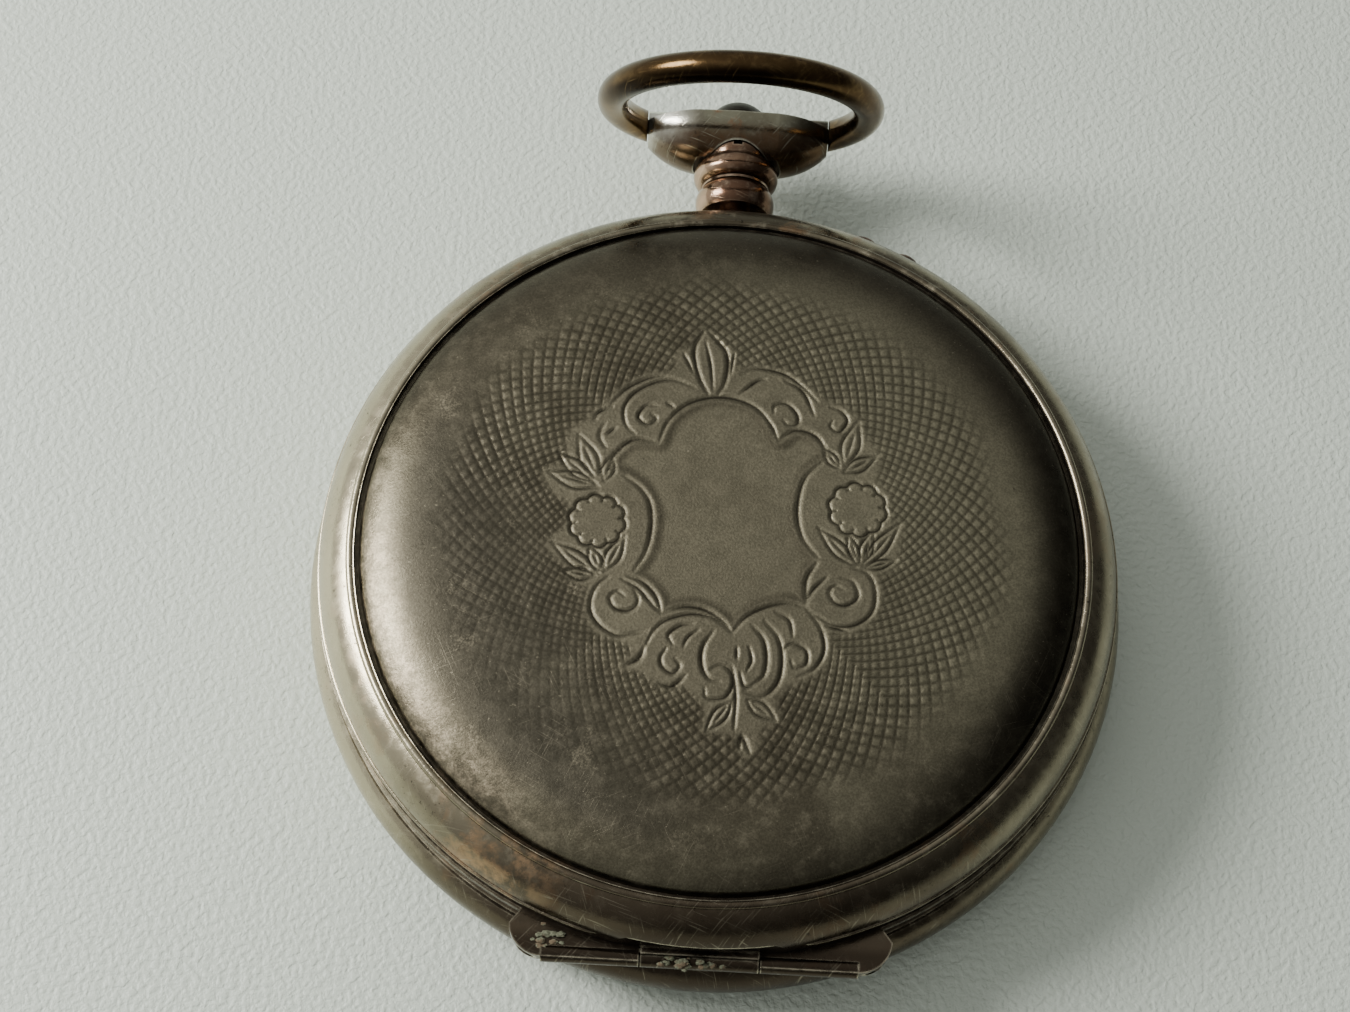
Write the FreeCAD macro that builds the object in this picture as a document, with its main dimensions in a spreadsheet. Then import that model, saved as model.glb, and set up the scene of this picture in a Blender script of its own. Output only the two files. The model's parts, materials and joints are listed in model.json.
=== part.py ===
import FreeCAD, Part
import math
import os
import Sketcher

# A keyless open-face fob watch with a hinged back, in millimetres.
# The origin is the centre of the crystal's flat face. +Z runs to the back cover, +Y to the pendant.

V = FreeCAD.Vector
X_AXIS, Y_AXIS, Z_AXIS = V(1, 0, 0), V(0, 1, 0), V(0, 0, 1)

SIZES = {
    # case
    "bezel_radius": 25.95,
    "bezel_bulge_height": 3.4,
    "bezel_top": 4.95,
    "band_radius": 25.1,
    "band_bottom": 5.0,
    "band_top": 7.4,
    "channel_depth": 0.55,
    "snap_radius": 22.9,
    "snap_gap": 0.1,
    "middle_bore": 21.05,
    "dial_bore": 21.8,
    "ledge_height": 4.35,
    "middle_top": 9.5,
    "crystal_radius": 22.35,
    "crystal_flat_radius": 19.8,
    "crystal_depth": 1.5,
    # back cover
    "rim_bottom": 7.45,
    "rim_foot_radius": 24.85,
    "rim_top": 11.2,
    "rim_groove_radius": 22.5,
    "dome_radius": 22.1,
    "dome_top": 13.5,
    "dome_wall": 0.5,
    "cuvette_radius": 22.65,
    "cuvette_bottom": 9.52,
    "cuvette_top": 11.6,
    # hinges
    "hinge_y": -25.0,
    "hinge_height": 6.9,
    "hinge_radius": 0.58,
    "hinge_pin_radius": 0.3,
    "knuckle_half": 3.5,
    "ear_inner": 3.6,
    "ear_outer": 9.4,
    "cuvette_hinge_y": -22.3,
    "cuvette_hinge_height": 9.5,
    "cuvette_hinge_radius": 0.32,
    "cuvette_pin_radius": 0.14,
    "running_gap": 0.04,
    # pendant and bow
    "pendant_height": 6.2,
    "pendant_bore": 0.62,
    "bow_pivot_y": 32.75,
    "bow_half_span": 6.05,
    "bow_ring_radius": 8.46,
    "bow_wire_radius": 1.03,
    "bow_lean": 105.6,
    "bow_stub_radius": 0.5,
    "lug_radius": 1.07,
    "head_half_width": 6.1,
    "crown_radius": 2.15,
    "crown_end": 34.7,
    # setting pin, clockwise from the pendant seen from the back
    "setting_angle": 23.3,
    "setting_pin_radius": 0.22,
    "guard_radius": 0.85,
    "guard_spread": 3.0,
    # movement
    "plate_bottom": 3.5,
    "plate_top": 6.0,
    "plate_radius": 20.9,
    "flange_radius": 21.6,
    "flange_top": 4.3,
    "dial_recess_top": 4.5,
    "barrel_recess_floor": 4.95,
    "bridge_bottom": 7.5,
    "bridge_top": 8.6,
    "bridge_radius": 20.4,
    "dial_front": 2.7,
    "dial_back": 3.35,
    "dial_radius": 21.3,
    "barrel_x": -6.0,
    "barrel_y": 6.1,
    "barrel_module": 0.19,
    "drum_radius": 7.2,
    "third_x": -2.79,
    "third_y": -6.147,
    "centre_module": 0.15,
    "fourth_y": -9.9,
    "third_module": 0.11,
    "escape_x": 3.704,
    "escape_y": -8.852,
    "fourth_module": 0.1,
    "balance_x": 7.6,
    "balance_y": -7.75,
    "balance_radius": 7.0,
    "motion_module": 0.16,
    "hour_module": 0.1536,
    "minute_wheel_y": 3.84,
    "setting_wheel_y": 10.72,
    "crown_wheel_y": 14.2,
    "winding_module": 0.24,
    "click_x": -13.8,
    "click_y": 3.26,
    "yoke_x": 12.0,
    "yoke_y": 14.6,
    "stem_radius": 0.5,
}

TEETH = {
    "barrel": 80, "centre_pinion": 10, "centre_wheel": 80, "third_pinion": 10, "third_wheel": 75,
    "fourth_pinion": 10, "fourth_wheel": 70, "escape_pinion": 7, "escape_wheel": 15,
    "cannon_pinion": 12, "minute_wheel": 36, "minute_pinion": 10, "hour_wheel": 40,
    "setting_wheel": 50, "crown_wheel": 36, "ratchet_wheel": 48, "winding_pinion": 18,
}

# The two case screws, as places seen from the back.
CASE_SCREWS = ((20.0, 3.5), (-19.85, -4.3))

# Where the hands point, in degrees round the dial from twelve.
HOUR_ANGLE, MINUTE_ANGLE, SECOND_ANGLE = 304.3, 51.5, 210.0

doc = FreeCAD.newDocument("FobWatch")
sheet = doc.addObject("Spreadsheet::Sheet", "Sizes")
for row, (alias, number) in enumerate(SIZES.items(), 1):
    sheet.set(f"A{row}", alias)
    sheet.set(f"B{row}", str(number))
    sheet.setAlias(f"B{row}", alias)
doc.recompute()


class Size:
    """A number together with the sheet expression that gives it."""

    def __init__(self, value, text):
        self.value = value
        self.text = text

    def __add__(self, other):
        return Size(self.value + plain(other), f"({self.text} + {wording(other)})")

    def __sub__(self, other):
        return Size(self.value - plain(other), f"({self.text} - {wording(other)})")

    def __mul__(self, other):
        return Size(self.value * plain(other), f"({self.text} * {wording(other)})")

    def __neg__(self):
        return Size(-self.value, f"(-1 * {self.text})")


def plain(number):
    return number.value if isinstance(number, Size) else number


def wording(number):
    return number.text if isinstance(number, Size) else f"({number})"


class Sizes:
    """The sheet's cells by name."""

    def __getattr__(self, alias):
        return Size(float(sheet.get(alias)), f"Sizes.{alias}")


d = Sizes()
nodes = []


def bind(obj, prop, value):
    if isinstance(value, Size):
        obj.setExpression(prop, value.text)
    else:
        setattr(obj, prop, value)


def place(obj, at, direction=Z_AXIS):
    """Puts obj at a point of numbers or sizes, with its own Z turned to direction."""
    turn = FreeCAD.Rotation(Z_AXIS, direction)
    obj.Placement = FreeCAD.Placement(V(*[plain(c) for c in at]), turn)
    for letter, coordinate in zip("xyz", at):
        if isinstance(coordinate, Size):
            obj.setExpression(f"Placement.Base.{letter}", coordinate.text)
    return obj


def node(label, obj):
    """Names obj as one sub-part of the watch."""
    obj.Label = label
    nodes.append(obj)
    return obj


def rod(radius, length, at, direction=Z_AXIS):
    obj = doc.addObject("Part::Cylinder", "rod")
    bind(obj, "Radius", radius)
    bind(obj, "Height", length)
    return place(obj, at, direction)


def block(size, at):
    obj = doc.addObject("Part::Box", "block")
    for prop, value in zip(("Length", "Width", "Height"), size):
        bind(obj, prop, value)
    return place(obj, at)


def ball(radius, at):
    obj = doc.addObject("Part::Sphere", "ball")
    bind(obj, "Radius", radius)
    return place(obj, at)


def fuse(*parts):
    obj = doc.addObject("Part::MultiFuse", "fuse")
    obj.Shapes = list(parts)
    return obj


def cut(base, *tools):
    obj = doc.addObject("Part::Cut", "cut")
    obj.Base = base
    obj.Tool = tools[0] if len(tools) == 1 else fuse(*tools)
    return obj


def origin_plane(body, role):
    return [f for f in body.Origin.OriginFeatures if f.Role == role][0]


def draw(sketch, corners):
    """A closed outline of corners (x, y), joined by lines unless a corner says more.

    A corner (x, y, mid x, mid y) is reached by an arc through that middle point, and a corner
    (x, y, "crown") by a shallow arc whose centre lies on the sketch's vertical axis.
    """
    ends = []
    for i, corner in enumerate(corners):
        start = V(plain(corners[i - 1][0]), plain(corners[i - 1][1]), 0)
        end = V(plain(corner[0]), plain(corner[1]), 0)
        if len(corner) == 2:
            edge = sketch.addGeometry(Part.LineSegment(start, end), False)
            ends.append((edge, 1, 2))
            continue
        crowned = corner[2] == "crown"
        mid = crown_middle(start, end) if crowned else V(plain(corner[2]), plain(corner[3]), 0)
        edge = sketch.addGeometry(Part.Arc(start, mid, end), False)
        forward = (mid - start).cross(end - mid).z > 0
        ends.append((edge, 1, 2) if forward else (edge, 2, 1))
        if crowned:
            sketch.addConstraint(Sketcher.Constraint("PointOnObject", edge, 3, -2))
            continue
        through = sketch.addGeometry(Part.Point(mid), True)
        sketch.addConstraint(Sketcher.Constraint("PointOnObject", through, 1, edge))
        pin_point(sketch, through, 1, corner[2], corner[3])
    for i, (edge, first, last) in enumerate(ends):
        following, next_first, _ = ends[(i + 1) % len(ends)]
        sketch.addConstraint(Sketcher.Constraint("Coincident", edge, last, following, next_first))
        pin_point(sketch, edge, last, corners[i][0], corners[i][1])


def crown_middle(start, end):
    """The middle of the arc from start to end whose centre is on the vertical axis."""
    height = (start.Length ** 2 - end.Length ** 2) / (2 * (start.y - end.y))
    centre = V(0, height, 0)
    middle = (start + end) * 0.5 - centre
    return centre + middle * ((start - centre).Length / middle.Length)


def pin_point(sketch, edge, which, x, y):
    """Holds one sketch point at x, y from the sketch's origin."""
    for kind, axis, value in (("DistanceX", -2, x), ("DistanceY", -1, y)):
        if not isinstance(value, Size) and value == 0:
            sketch.addConstraint(Sketcher.Constraint("PointOnObject", edge, which, axis))
            continue
        index = sketch.addConstraint(Sketcher.Constraint(kind, -1, 1, edge, which, plain(value)))
        if isinstance(value, Size):
            sketch.setExpression(f"Constraints[{index}]", value.text)


def sketched_body(name, plane, corners):
    body = doc.addObject("PartDesign::Body", name)
    sketch = body.newObject("Sketcher::SketchObject", name + "_outline")
    sketch.AttachmentSupport = [(origin_plane(body, plane), "")]
    sketch.MapMode = "FlatFace"
    draw(sketch, corners)
    return body, sketch


def turned(name, corners, at=(0, 0, 0), along="z"):
    """A body of revolution: corners are (radius, height), round the Z axis or the Y axis."""
    body, sketch = sketched_body(name, "XZ_Plane" if along == "z" else "XY_Plane", corners)
    spin = body.newObject("PartDesign::Revolution", name + "_turn")
    spin.Profile = sketch
    spin.ReferenceAxis = (sketch, ["V_Axis"])
    spin.Angle = 360
    return place(body, at)


def padded(name, corners, height, at):
    """An outline in the XY plane raised by height."""
    body, sketch = sketched_body(name, "XY_Plane", corners)
    pad = body.newObject("PartDesign::Pad", name + "_pad")
    pad.Profile = sketch
    bind(pad, "Length", height)
    return place(body, at)


def shaped(label, shape):
    """A sub-part whose shape is worked out below from the sheet's numbers."""
    obj = doc.addObject("Part::Feature", label)
    obj.Shape = shape
    return node(label, obj)


# --- shapes made with Part's own functions ---------------------------------------------------


def disc(radius, bottom, top, x=0, y=0):
    return Part.makeCylinder(radius, top - bottom, V(x, y, bottom))


def ring(outer, inner, bottom, top, x=0, y=0):
    return disc(outer, bottom, top, x, y).cut(disc(inner, bottom - 1, top + 1, x, y))


def slab(points, bottom, top):
    corners = [V(px, py, bottom) for px, py in points]
    return Part.Face(Part.makePolygon(corners + corners[:1])).extrude(V(0, 0, top - bottom))


def polar(radius, degrees, x=0, y=0):
    angle = math.radians(degrees)
    return x + radius * math.cos(angle), y + radius * math.sin(angle)


def toothed(teeth, module, bottom, top, phase=0.0):
    """A spur-toothed disc at the origin with one tooth centred on phase, in degrees."""
    pitch_radius = teeth * module / 2
    root, tip = pitch_radius - 1.2 * module, pitch_radius + 0.85 * module
    step = 360 / teeth
    points = []
    for i in range(teeth):
        middle = phase + i * step
        for share, radius in ((-0.24, root), (-0.08, tip), (0.08, tip), (0.24, root)):
            points.append(polar(radius, middle + share * step))
    return slab(points, bottom, top)


def gap_phase(direction, teeth):
    """The phase that puts a gap at the line of centres, which leaves the mate along direction."""
    return direction + 180 + 180 / teeth


def spoked(wheel, spokes, hub, rim, bottom, top, width):
    """Cuts the windows between the spokes out of a wheel at the origin."""
    windows = ring(rim, hub, bottom - 1, top + 1)
    for i in range(spokes):
        bar = Part.makeBox(rim + 1, width, top - bottom + 4, V(0, -width / 2, bottom - 2))
        windows = windows.cut(bar.rotate(V(0, 0, 0), Z_AXIS, i * 360 / spokes))
    return wheel.cut(windows)


def bearing_line(x1, y1, x2, y2):
    return math.degrees(math.atan2(y2 - y1, x2 - x1))


def screw(x, y, seat, shank_radius, head_radius, head_height, depth, slot_angle=0):
    """A cheese-head screw standing on a seat height, with a slot across its head."""
    top = seat + head_height
    head = disc(head_radius, seat, top, x, y)
    slot = Part.makeBox(4 * head_radius, 0.22 * head_radius + 0.08, 1)
    slot.translate(V(-2 * head_radius, -0.11 * head_radius - 0.04, top - 0.4 * head_height))
    slot.rotate(V(0, 0, 0), Z_AXIS, slot_angle)
    slot.translate(V(x, y, 0))
    return head.cut(slot).fuse(disc(shank_radius, seat - depth, seat, x, y))


def spiral_strip(inner, outer, turns, thickness, bottom, top, steps=28, start=0.0):
    """A flat spiral spring at the origin, as one extruded strip."""
    count = int(turns * steps)
    inside, outside = [], []
    for i in range(count + 1):
        radius = inner + (outer - inner) * i / count
        angle = start + 360 * i / steps
        inside.append(polar(radius - thickness / 2, angle))
        outside.append(polar(radius + thickness / 2, angle))
    return slab(inside + outside[::-1], bottom, top)


# --- case --------------------------------------------------------------------------------------

setting_direction = FreeCAD.Rotation(Z_AXIS, -d.setting_angle.value).multVec(Y_AXIS)


def case_middle():
    rim = d.band_radius
    ring_body = turned("middle_ring", [
        (d.dial_bore, d.band_bottom - 2.0),
        (d.snap_radius, d.band_bottom - 2.0),
        (d.snap_radius, d.band_bottom),
        (rim - 0.1, d.band_bottom),
        (rim - 0.1, d.band_bottom + 0.35),
        (rim - 0.1, d.band_top - 0.6, rim - d.channel_depth, d.band_top - 1.3),
        (rim, d.band_top - 0.5),
        (rim, d.band_top - 0.1),
        (rim - 0.15, d.band_top),
        (d.snap_radius, d.band_top),
        (d.snap_radius, d.middle_top),
        (d.middle_bore, d.middle_top),
        (d.middle_bore, d.ledge_height),
        (d.dial_bore, d.ledge_height),
    ])
    ears = []
    for side in (-1, 1):
        ears.append(padded("ear", [
            (d.ear_inner * side, d.hinge_y - 0.35),
            (d.ear_outer * side + 0.2 * side, d.hinge_y - 0.35),
            (11.4 * side, d.hinge_y + 1.55, 10.9 * side, d.hinge_y + 0.35),
            (10.6 * side, d.hinge_y + 2.6),
            (d.ear_inner * side, d.hinge_y + 0.9),
        ], 0.85, (0, 0, d.band_top - 0.85)))
        ears.append(rod(d.hinge_radius, d.ear_outer - d.ear_inner,
                        (d.ear_inner * side, d.hinge_y, d.hinge_height), X_AXIS * side))
        ears.append(rod(d.cuvette_hinge_radius, 1.6,
                        (2.1 * side, d.cuvette_hinge_y, d.cuvette_hinge_height), X_AXIS * side))
    solid = fuse(ring_body, *ears)
    inside = [V(0, 0, 0) + setting_direction * 20, V(0, 19, 0)]
    tools = [
        block((d.ear_inner * 2, 2.2, 1.6),
              (-d.ear_inner, d.hinge_y - 1.4, d.hinge_height - 0.75)),
        block((4.2, 0.9, 0.9), (-2.1, d.cuvette_hinge_y - 0.4, d.cuvette_hinge_height - 0.4)),
        rod(d.hinge_pin_radius + 0.01, 24, (-12, d.hinge_y, d.hinge_height), X_AXIS),
        rod(d.cuvette_pin_radius + 0.01, 7.6,
            (-3.8, d.cuvette_hinge_y, d.cuvette_hinge_height), X_AXIS),
        rod(1.06, 8, (0, inside[1].y, d.pendant_height), Y_AXIS),
        rod(d.setting_pin_radius + 0.03, 7,
            (inside[0].x, inside[0].y, d.pendant_height), setting_direction),
    ]
    for x, y in CASE_SCREWS:
        tools.append(rod(1.45, 6, (x, y, d.plate_top)))
    return node("case_middle", cut(solid, *tools))


def bezel():
    inner = d.snap_radius + d.snap_gap
    node("bezel", turned("bezel", [
        (inner, d.bezel_top),
        (inner, 2.75),
        (d.crystal_radius - 0.75, 2.3),
        (d.crystal_radius - 0.75, d.crystal_depth + 0.05),
        (d.crystal_radius + 0.05, d.crystal_depth + 0.05),
        (d.crystal_radius + 0.05, 0.95),
        (d.crystal_radius - 0.2, 0.95),
        (d.crystal_radius - 0.2, 0.7),
        (d.snap_radius, 0.45),
        (d.bezel_radius - 1.25, d.bezel_bulge_height - 2.25, d.bezel_radius - 2.0, 0.6),
        (d.band_radius, d.bezel_top, d.bezel_radius, d.bezel_bulge_height),
    ]))
    node("crystal", turned("crystal", [
        (0, 0),
        (d.crystal_flat_radius, 0),
        (d.crystal_radius - 0.45, 0.85),
        (d.crystal_radius - 0.3, 0.97),
        (d.crystal_radius, 0.97),
        (d.crystal_radius, d.crystal_depth),
        (d.crystal_radius - 0.95, d.crystal_depth),
        (d.crystal_radius - 2.35, d.crystal_depth - 0.4),
        (0, d.crystal_depth - 0.4),
    ]))


def back_cover():
    groove, foot = d.rim_groove_radius, d.rim_foot_radius
    inner = d.snap_radius + 0.15
    roll = turned("rim_roll", [
        (inner, d.rim_bottom),
        (foot, d.rim_bottom),
        (groove, d.rim_top, foot - 0.4, d.rim_bottom + 2.3),
        (groove, d.rim_top - 0.4),
        (groove - 1.0, d.rim_top - 0.4),
        (groove - 1.0, d.rim_top - 0.75),
        (groove - 0.3, d.rim_top - 0.75),
        (inner, d.rim_top - 1.45),
    ])
    flat_back = cut(roll, block((10.8, 2, 1.55), (-5.4, d.hinge_y - 1.4, d.rim_bottom - 0.05)))
    length = d.knuckle_half * 2
    knuckle = fuse(
        flat_back,
        rod(d.hinge_radius, length, (-d.knuckle_half, d.hinge_y, d.hinge_height), X_AXIS),
        block((length, 0.7, 1.0), (-d.knuckle_half, d.hinge_y, d.hinge_height)),
        block((length, 0.7, 0.65), (-d.knuckle_half, d.hinge_y + 0.4, d.rim_bottom)),
    )
    bore = rod(d.hinge_pin_radius + d.running_gap, 8, (-4, d.hinge_y, d.hinge_height), X_AXIS)
    node("back_cover_rim", cut(knuckle, bore))
    edge, top, wall = d.dome_radius, d.dome_top, d.dome_wall
    node("back_cover_dome", turned("dome", [
        (edge, d.rim_top - 0.4),
        (edge, d.rim_top + 0.05),
        (edge - 2.8, top - 0.7, edge - 0.72, top - 1.22),
        (0, top, "crown"),
        (0, top - wall),
        (edge - 3.0, top - wall - 0.7, "crown"),
        (edge - 0.5, d.rim_top - 0.4, edge - 1.1, top - wall - 1.2),
    ]))
    node("back_hinge_pin", rod(d.hinge_pin_radius, 18.6, (-9.3, d.hinge_y, d.hinge_height), X_AXIS))


def cuvette():
    edge, low, top = d.cuvette_radius, d.cuvette_bottom, d.cuvette_top
    lid = turned("lid", [
        (edge, low),
        (edge, low + 0.3),
        (edge - 1.45, low + 0.3),
        (edge - 3.15, top - 0.75),
        (0, top, "crown"),
        (0, top - 0.36),
        (edge - 3.45, top - 1.1, "crown"),
        (edge - 1.75, low),
    ])
    trimmed = cut(
        lid,
        block((12, 2, 1), (-6, d.cuvette_hinge_y - 1.9, low - 0.2)),
        block((3.2, 2, 1), (2.05, d.cuvette_hinge_y - 1.6, low - 0.2)),
        block((3.2, 2, 1), (-5.25, d.cuvette_hinge_y - 1.6, low - 0.2)),
    )
    at = (-2, d.cuvette_hinge_y, d.cuvette_hinge_height)
    hinged = fuse(trimmed, rod(d.cuvette_hinge_radius, 4, at, X_AXIS))
    bore = rod(d.cuvette_pin_radius + d.running_gap, 5,
               (-2.5, d.cuvette_hinge_y, d.cuvette_hinge_height), X_AXIS)
    node("cuvette", cut(hinged, bore))
    node("cuvette_hinge_pin", rod(d.cuvette_pin_radius, 7.2,
                                  (-3.6, d.cuvette_hinge_y, d.cuvette_hinge_height), X_AXIS))


def pendant():
    height = d.pendant_height
    bore = d.pendant_bore
    stem_line = (0, 0, height)
    neck = turned("neck", [
        (bore, 22.2), (1.05, 22.2), (1.05, 26.0), (2.3, 26.0),
        (2.4, 27.7, 2.65, 26.9),
        (2.05, 27.78), (2.05, 27.85), (2.3, 27.9), (2.3, 28.05), (2.05, 28.1),
        (2.25, 29.85, 2.85, 29.1),
        (2.2, 30.0),
        (1.6, 31.7, 2.1, 31.1),
        (bore, 31.7),
    ], stem_line, along="y")
    slot = block((0.6, 1.2, 1.2), (-0.3, 30.4, height + 1.75))
    node("pendant_neck", cut(neck, slot))

    half = d.head_half_width
    spindle = turned("spindle", [
        (0, -half), (1.2, -half), (1.55, 0.35 - half.value),
        (2.85, -2.7, 2.3, -4.6),
        (2.95, 0),
        (2.85, 2.7),
        (1.55, half - 0.35, 2.3, 4.6),
        (1.2, half), (0, half),
    ], along="y")
    spindle.Placement = FreeCAD.Placement(
        V(0, d.bow_pivot_y.value - 0.25, height.value), FreeCAD.Rotation(Z_AXIS, -90))
    above = block((12.4, 4, 8), (-6.2, d.bow_pivot_y - 0.15, height - 4))
    saddle = cut(spindle, above)
    lugs = [rod(d.lug_radius, 1.7, (side * 4.4, d.bow_pivot_y, height), X_AXIS * side)
            for side in (-1, 1)]
    tools = [
        rod(2.95, 4, (0, 25.9, height), Y_AXIS),
        rod(2.33, 5.8, (0, 26, height), Y_AXIS),
        rod(d.pendant_bore, 8, (0, 26, height), Y_AXIS),
        rod(d.crown_radius + 0.2, 4, (0, 31.95, height), Y_AXIS),
        rod(d.bow_stub_radius + d.running_gap, 3, (4.6, d.bow_pivot_y, height), X_AXIS),
        rod(d.bow_stub_radius + d.running_gap, 3, (-4.6, d.bow_pivot_y, height), -X_AXIS),
    ]
    node("pendant_head", cut(fuse(saddle, *lugs), *tools))


def bow():
    rise = math.sqrt(d.bow_ring_radius.value ** 2 - d.bow_half_span.value ** 2)
    start = math.degrees(math.atan2(-rise, d.bow_half_span.value))
    lean = math.radians(d.bow_lean.value)
    pivot = V(0, d.bow_pivot_y.value, d.pendant_height.value)
    hoop = doc.addObject("Part::Torus", "hoop")
    bind(hoop, "Radius1", d.bow_ring_radius)
    bind(hoop, "Radius2", d.bow_wire_radius)
    hoop.Angle3 = 180 - 2 * start
    centre = pivot + V(0, math.cos(lean), math.sin(lean)) * rise
    turn = FreeCAD.Rotation(X_AXIS, d.bow_lean.value).multiply(FreeCAD.Rotation(Z_AXIS, start))
    hoop.Placement = FreeCAD.Placement(centre, turn)
    span = d.head_half_width + 0.08
    open_hoop = cut(hoop, rod(1.9, span * 2, (-span, d.bow_pivot_y, d.pendant_height), X_AXIS))
    stubs = [rod(d.bow_stub_radius, 1.9, (side * 4.75, d.bow_pivot_y, d.pendant_height),
                 X_AXIS * side) for side in (-1, 1)]
    node("bow", fuse(open_hoop, *stubs))


def crown_and_stem():
    height = d.pendant_height
    radius = d.crown_radius
    button = turned("button", [
        (0, 33.5), (d.stem_radius + 0.01, 33.5), (d.stem_radius + 0.01, 32.2),
        (radius - 0.1, 32.2), (radius, 32.3), (radius, 33.2),
        (0, d.crown_end, "crown"),
    ], (0, 0, height), along="y")
    flutes = []
    count = 22
    for i in range(count):
        x, z = polar(radius.value + 0.06, i * 360 / count)
        flutes.append(rod(0.16, 1.0, (x, 32.1, height + z), Y_AXIS))
    node("crown", cut(button, *flutes))
    node("stem", rod(d.stem_radius, 20.6, (0, 12.8, height), Y_AXIS))


def setting_pin_pieces(middle):
    height = d.pendant_height
    lumps = []
    for side in (-1, 1):
        angle = 90 - d.setting_angle.value + side * d.guard_spread.value
        x, y = polar(25.75, angle)
        lumps.append(ball(d.guard_radius, (x, y, height + 0.4)))
    node("setting_pin_guard", cut(fuse(*lumps), middle))
    start = setting_direction * 20.6
    node("setting_pin", rod(d.setting_pin_radius, 5.6, (start.x, start.y, height),
                            setting_direction))


# --- movement ----------------------------------------------------------------------------------

# Bridge screws and dial feet, as places seen from the back.
BARREL_BRIDGE_SCREWS = ((-17.2, 7.4), (-8.4, 17.0), (5.4, 18.0))
TRAIN_BRIDGE_SCREWS = ((-14.8, -11.4), (-6.6, -17.2))
ESCAPE_COCK_SCREW = (2.5, -15.3)
DIAL_FEET = tuple(polar(18.6, angle) for angle in (22, 160, 262))


def cock_frame():
    """The balance cock's own frame: from the balance staff out towards the plate's edge."""
    return bearing_line(0, 0, d.balance_x.value, d.balance_y.value)


def on_cock(along, across=0.0):
    angle = math.radians(cock_frame())
    return (d.balance_x.value + along * math.cos(angle) - across * math.sin(angle),
            d.balance_y.value + along * math.sin(angle) + across * math.cos(angle))


def main_plate():
    bottom, top = d.plate_bottom, d.plate_top
    stem_z = d.pendant_height
    depth = d.dial_recess_top - bottom
    base = fuse(
        rod(d.flange_radius, d.flange_top - bottom, (0, 0, bottom)),
        rod(d.plate_radius, top - bottom, (0, 0, bottom)),
    )
    tools = [
        rod(3.5, depth + 1, (0, 0, bottom - 1)),
        rod(3.4, depth + 1, (0, d.minute_wheel_y, bottom - 1)),
        rod(4.5, depth + 1, (0, d.setting_wheel_y, bottom - 1)),
        rod(8.1, 2, (d.barrel_x, d.barrel_y, d.barrel_recess_floor)),
        rod(1.4, 2, (0, 0, d.barrel_recess_floor - 0.05)),
        block((5.2, 5.7, 3), (-2.6, 13.8, bottom - 0.1)),
        rod(0.48, 6, (0, 0, bottom - 1)),
        rod(0.65, 3, (d.barrel_x, d.barrel_y, bottom - 1)),
        rod(0.15, 6, (d.third_x, d.third_y, bottom - 1)),
        rod(0.23, 6, (0, d.fourth_y, bottom - 1)),
        rod(0.13, 6, (d.escape_x, d.escape_y, bottom - 1)),
        rod(0.13, 6, (d.balance_x, d.balance_y, bottom - 1)),
        rod(0.5, 3, (setting_direction.x * 19, setting_direction.y * 19, stem_z),
            setting_direction),
    ]
    tools += [rod(0.42, 2, (x, y, bottom - 0.1)) for x, y in DIAL_FEET]
    screw_holes = BARREL_BRIDGE_SCREWS + TRAIN_BRIDGE_SCREWS
    tools += [rod(0.5, 2, (x, y, top - 1.0)) for x, y in CASE_SCREWS]
    tools += [rod(0.55, 2, (x, y, top - 0.8)) for x, y in screw_holes]
    cock_x, cock_y = on_cock(8.3)
    tools += [rod(0.55, 2, (cock_x, cock_y, top - 0.8)),
              rod(0.4, 2, (ESCAPE_COCK_SCREW[0], ESCAPE_COCK_SCREW[1], top - 0.8)),
              rod(0.45, 2, (d.yoke_x, d.yoke_y, top - 0.8))]
    carved = cut(base, *tools)
    added = [
        block((3.8, 1.2, 1.55), (-1.2, 12.5, top - 0.1)),
        block((4.0, 1.1, 1.55), (-2.0, 19.5, top - 0.1)),
        rod(0.3, 1.0, (0, d.minute_wheel_y, bottom + 0.05)),
        rod(0.4, 0.7, (0, d.setting_wheel_y, d.dial_recess_top - 0.6)),
    ]
    stem_bore = rod(d.stem_radius + d.running_gap, 10, (0, 12.3, stem_z), Y_AXIS)
    node("main_plate", cut(fuse(carved, *added), stem_bore))


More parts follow.
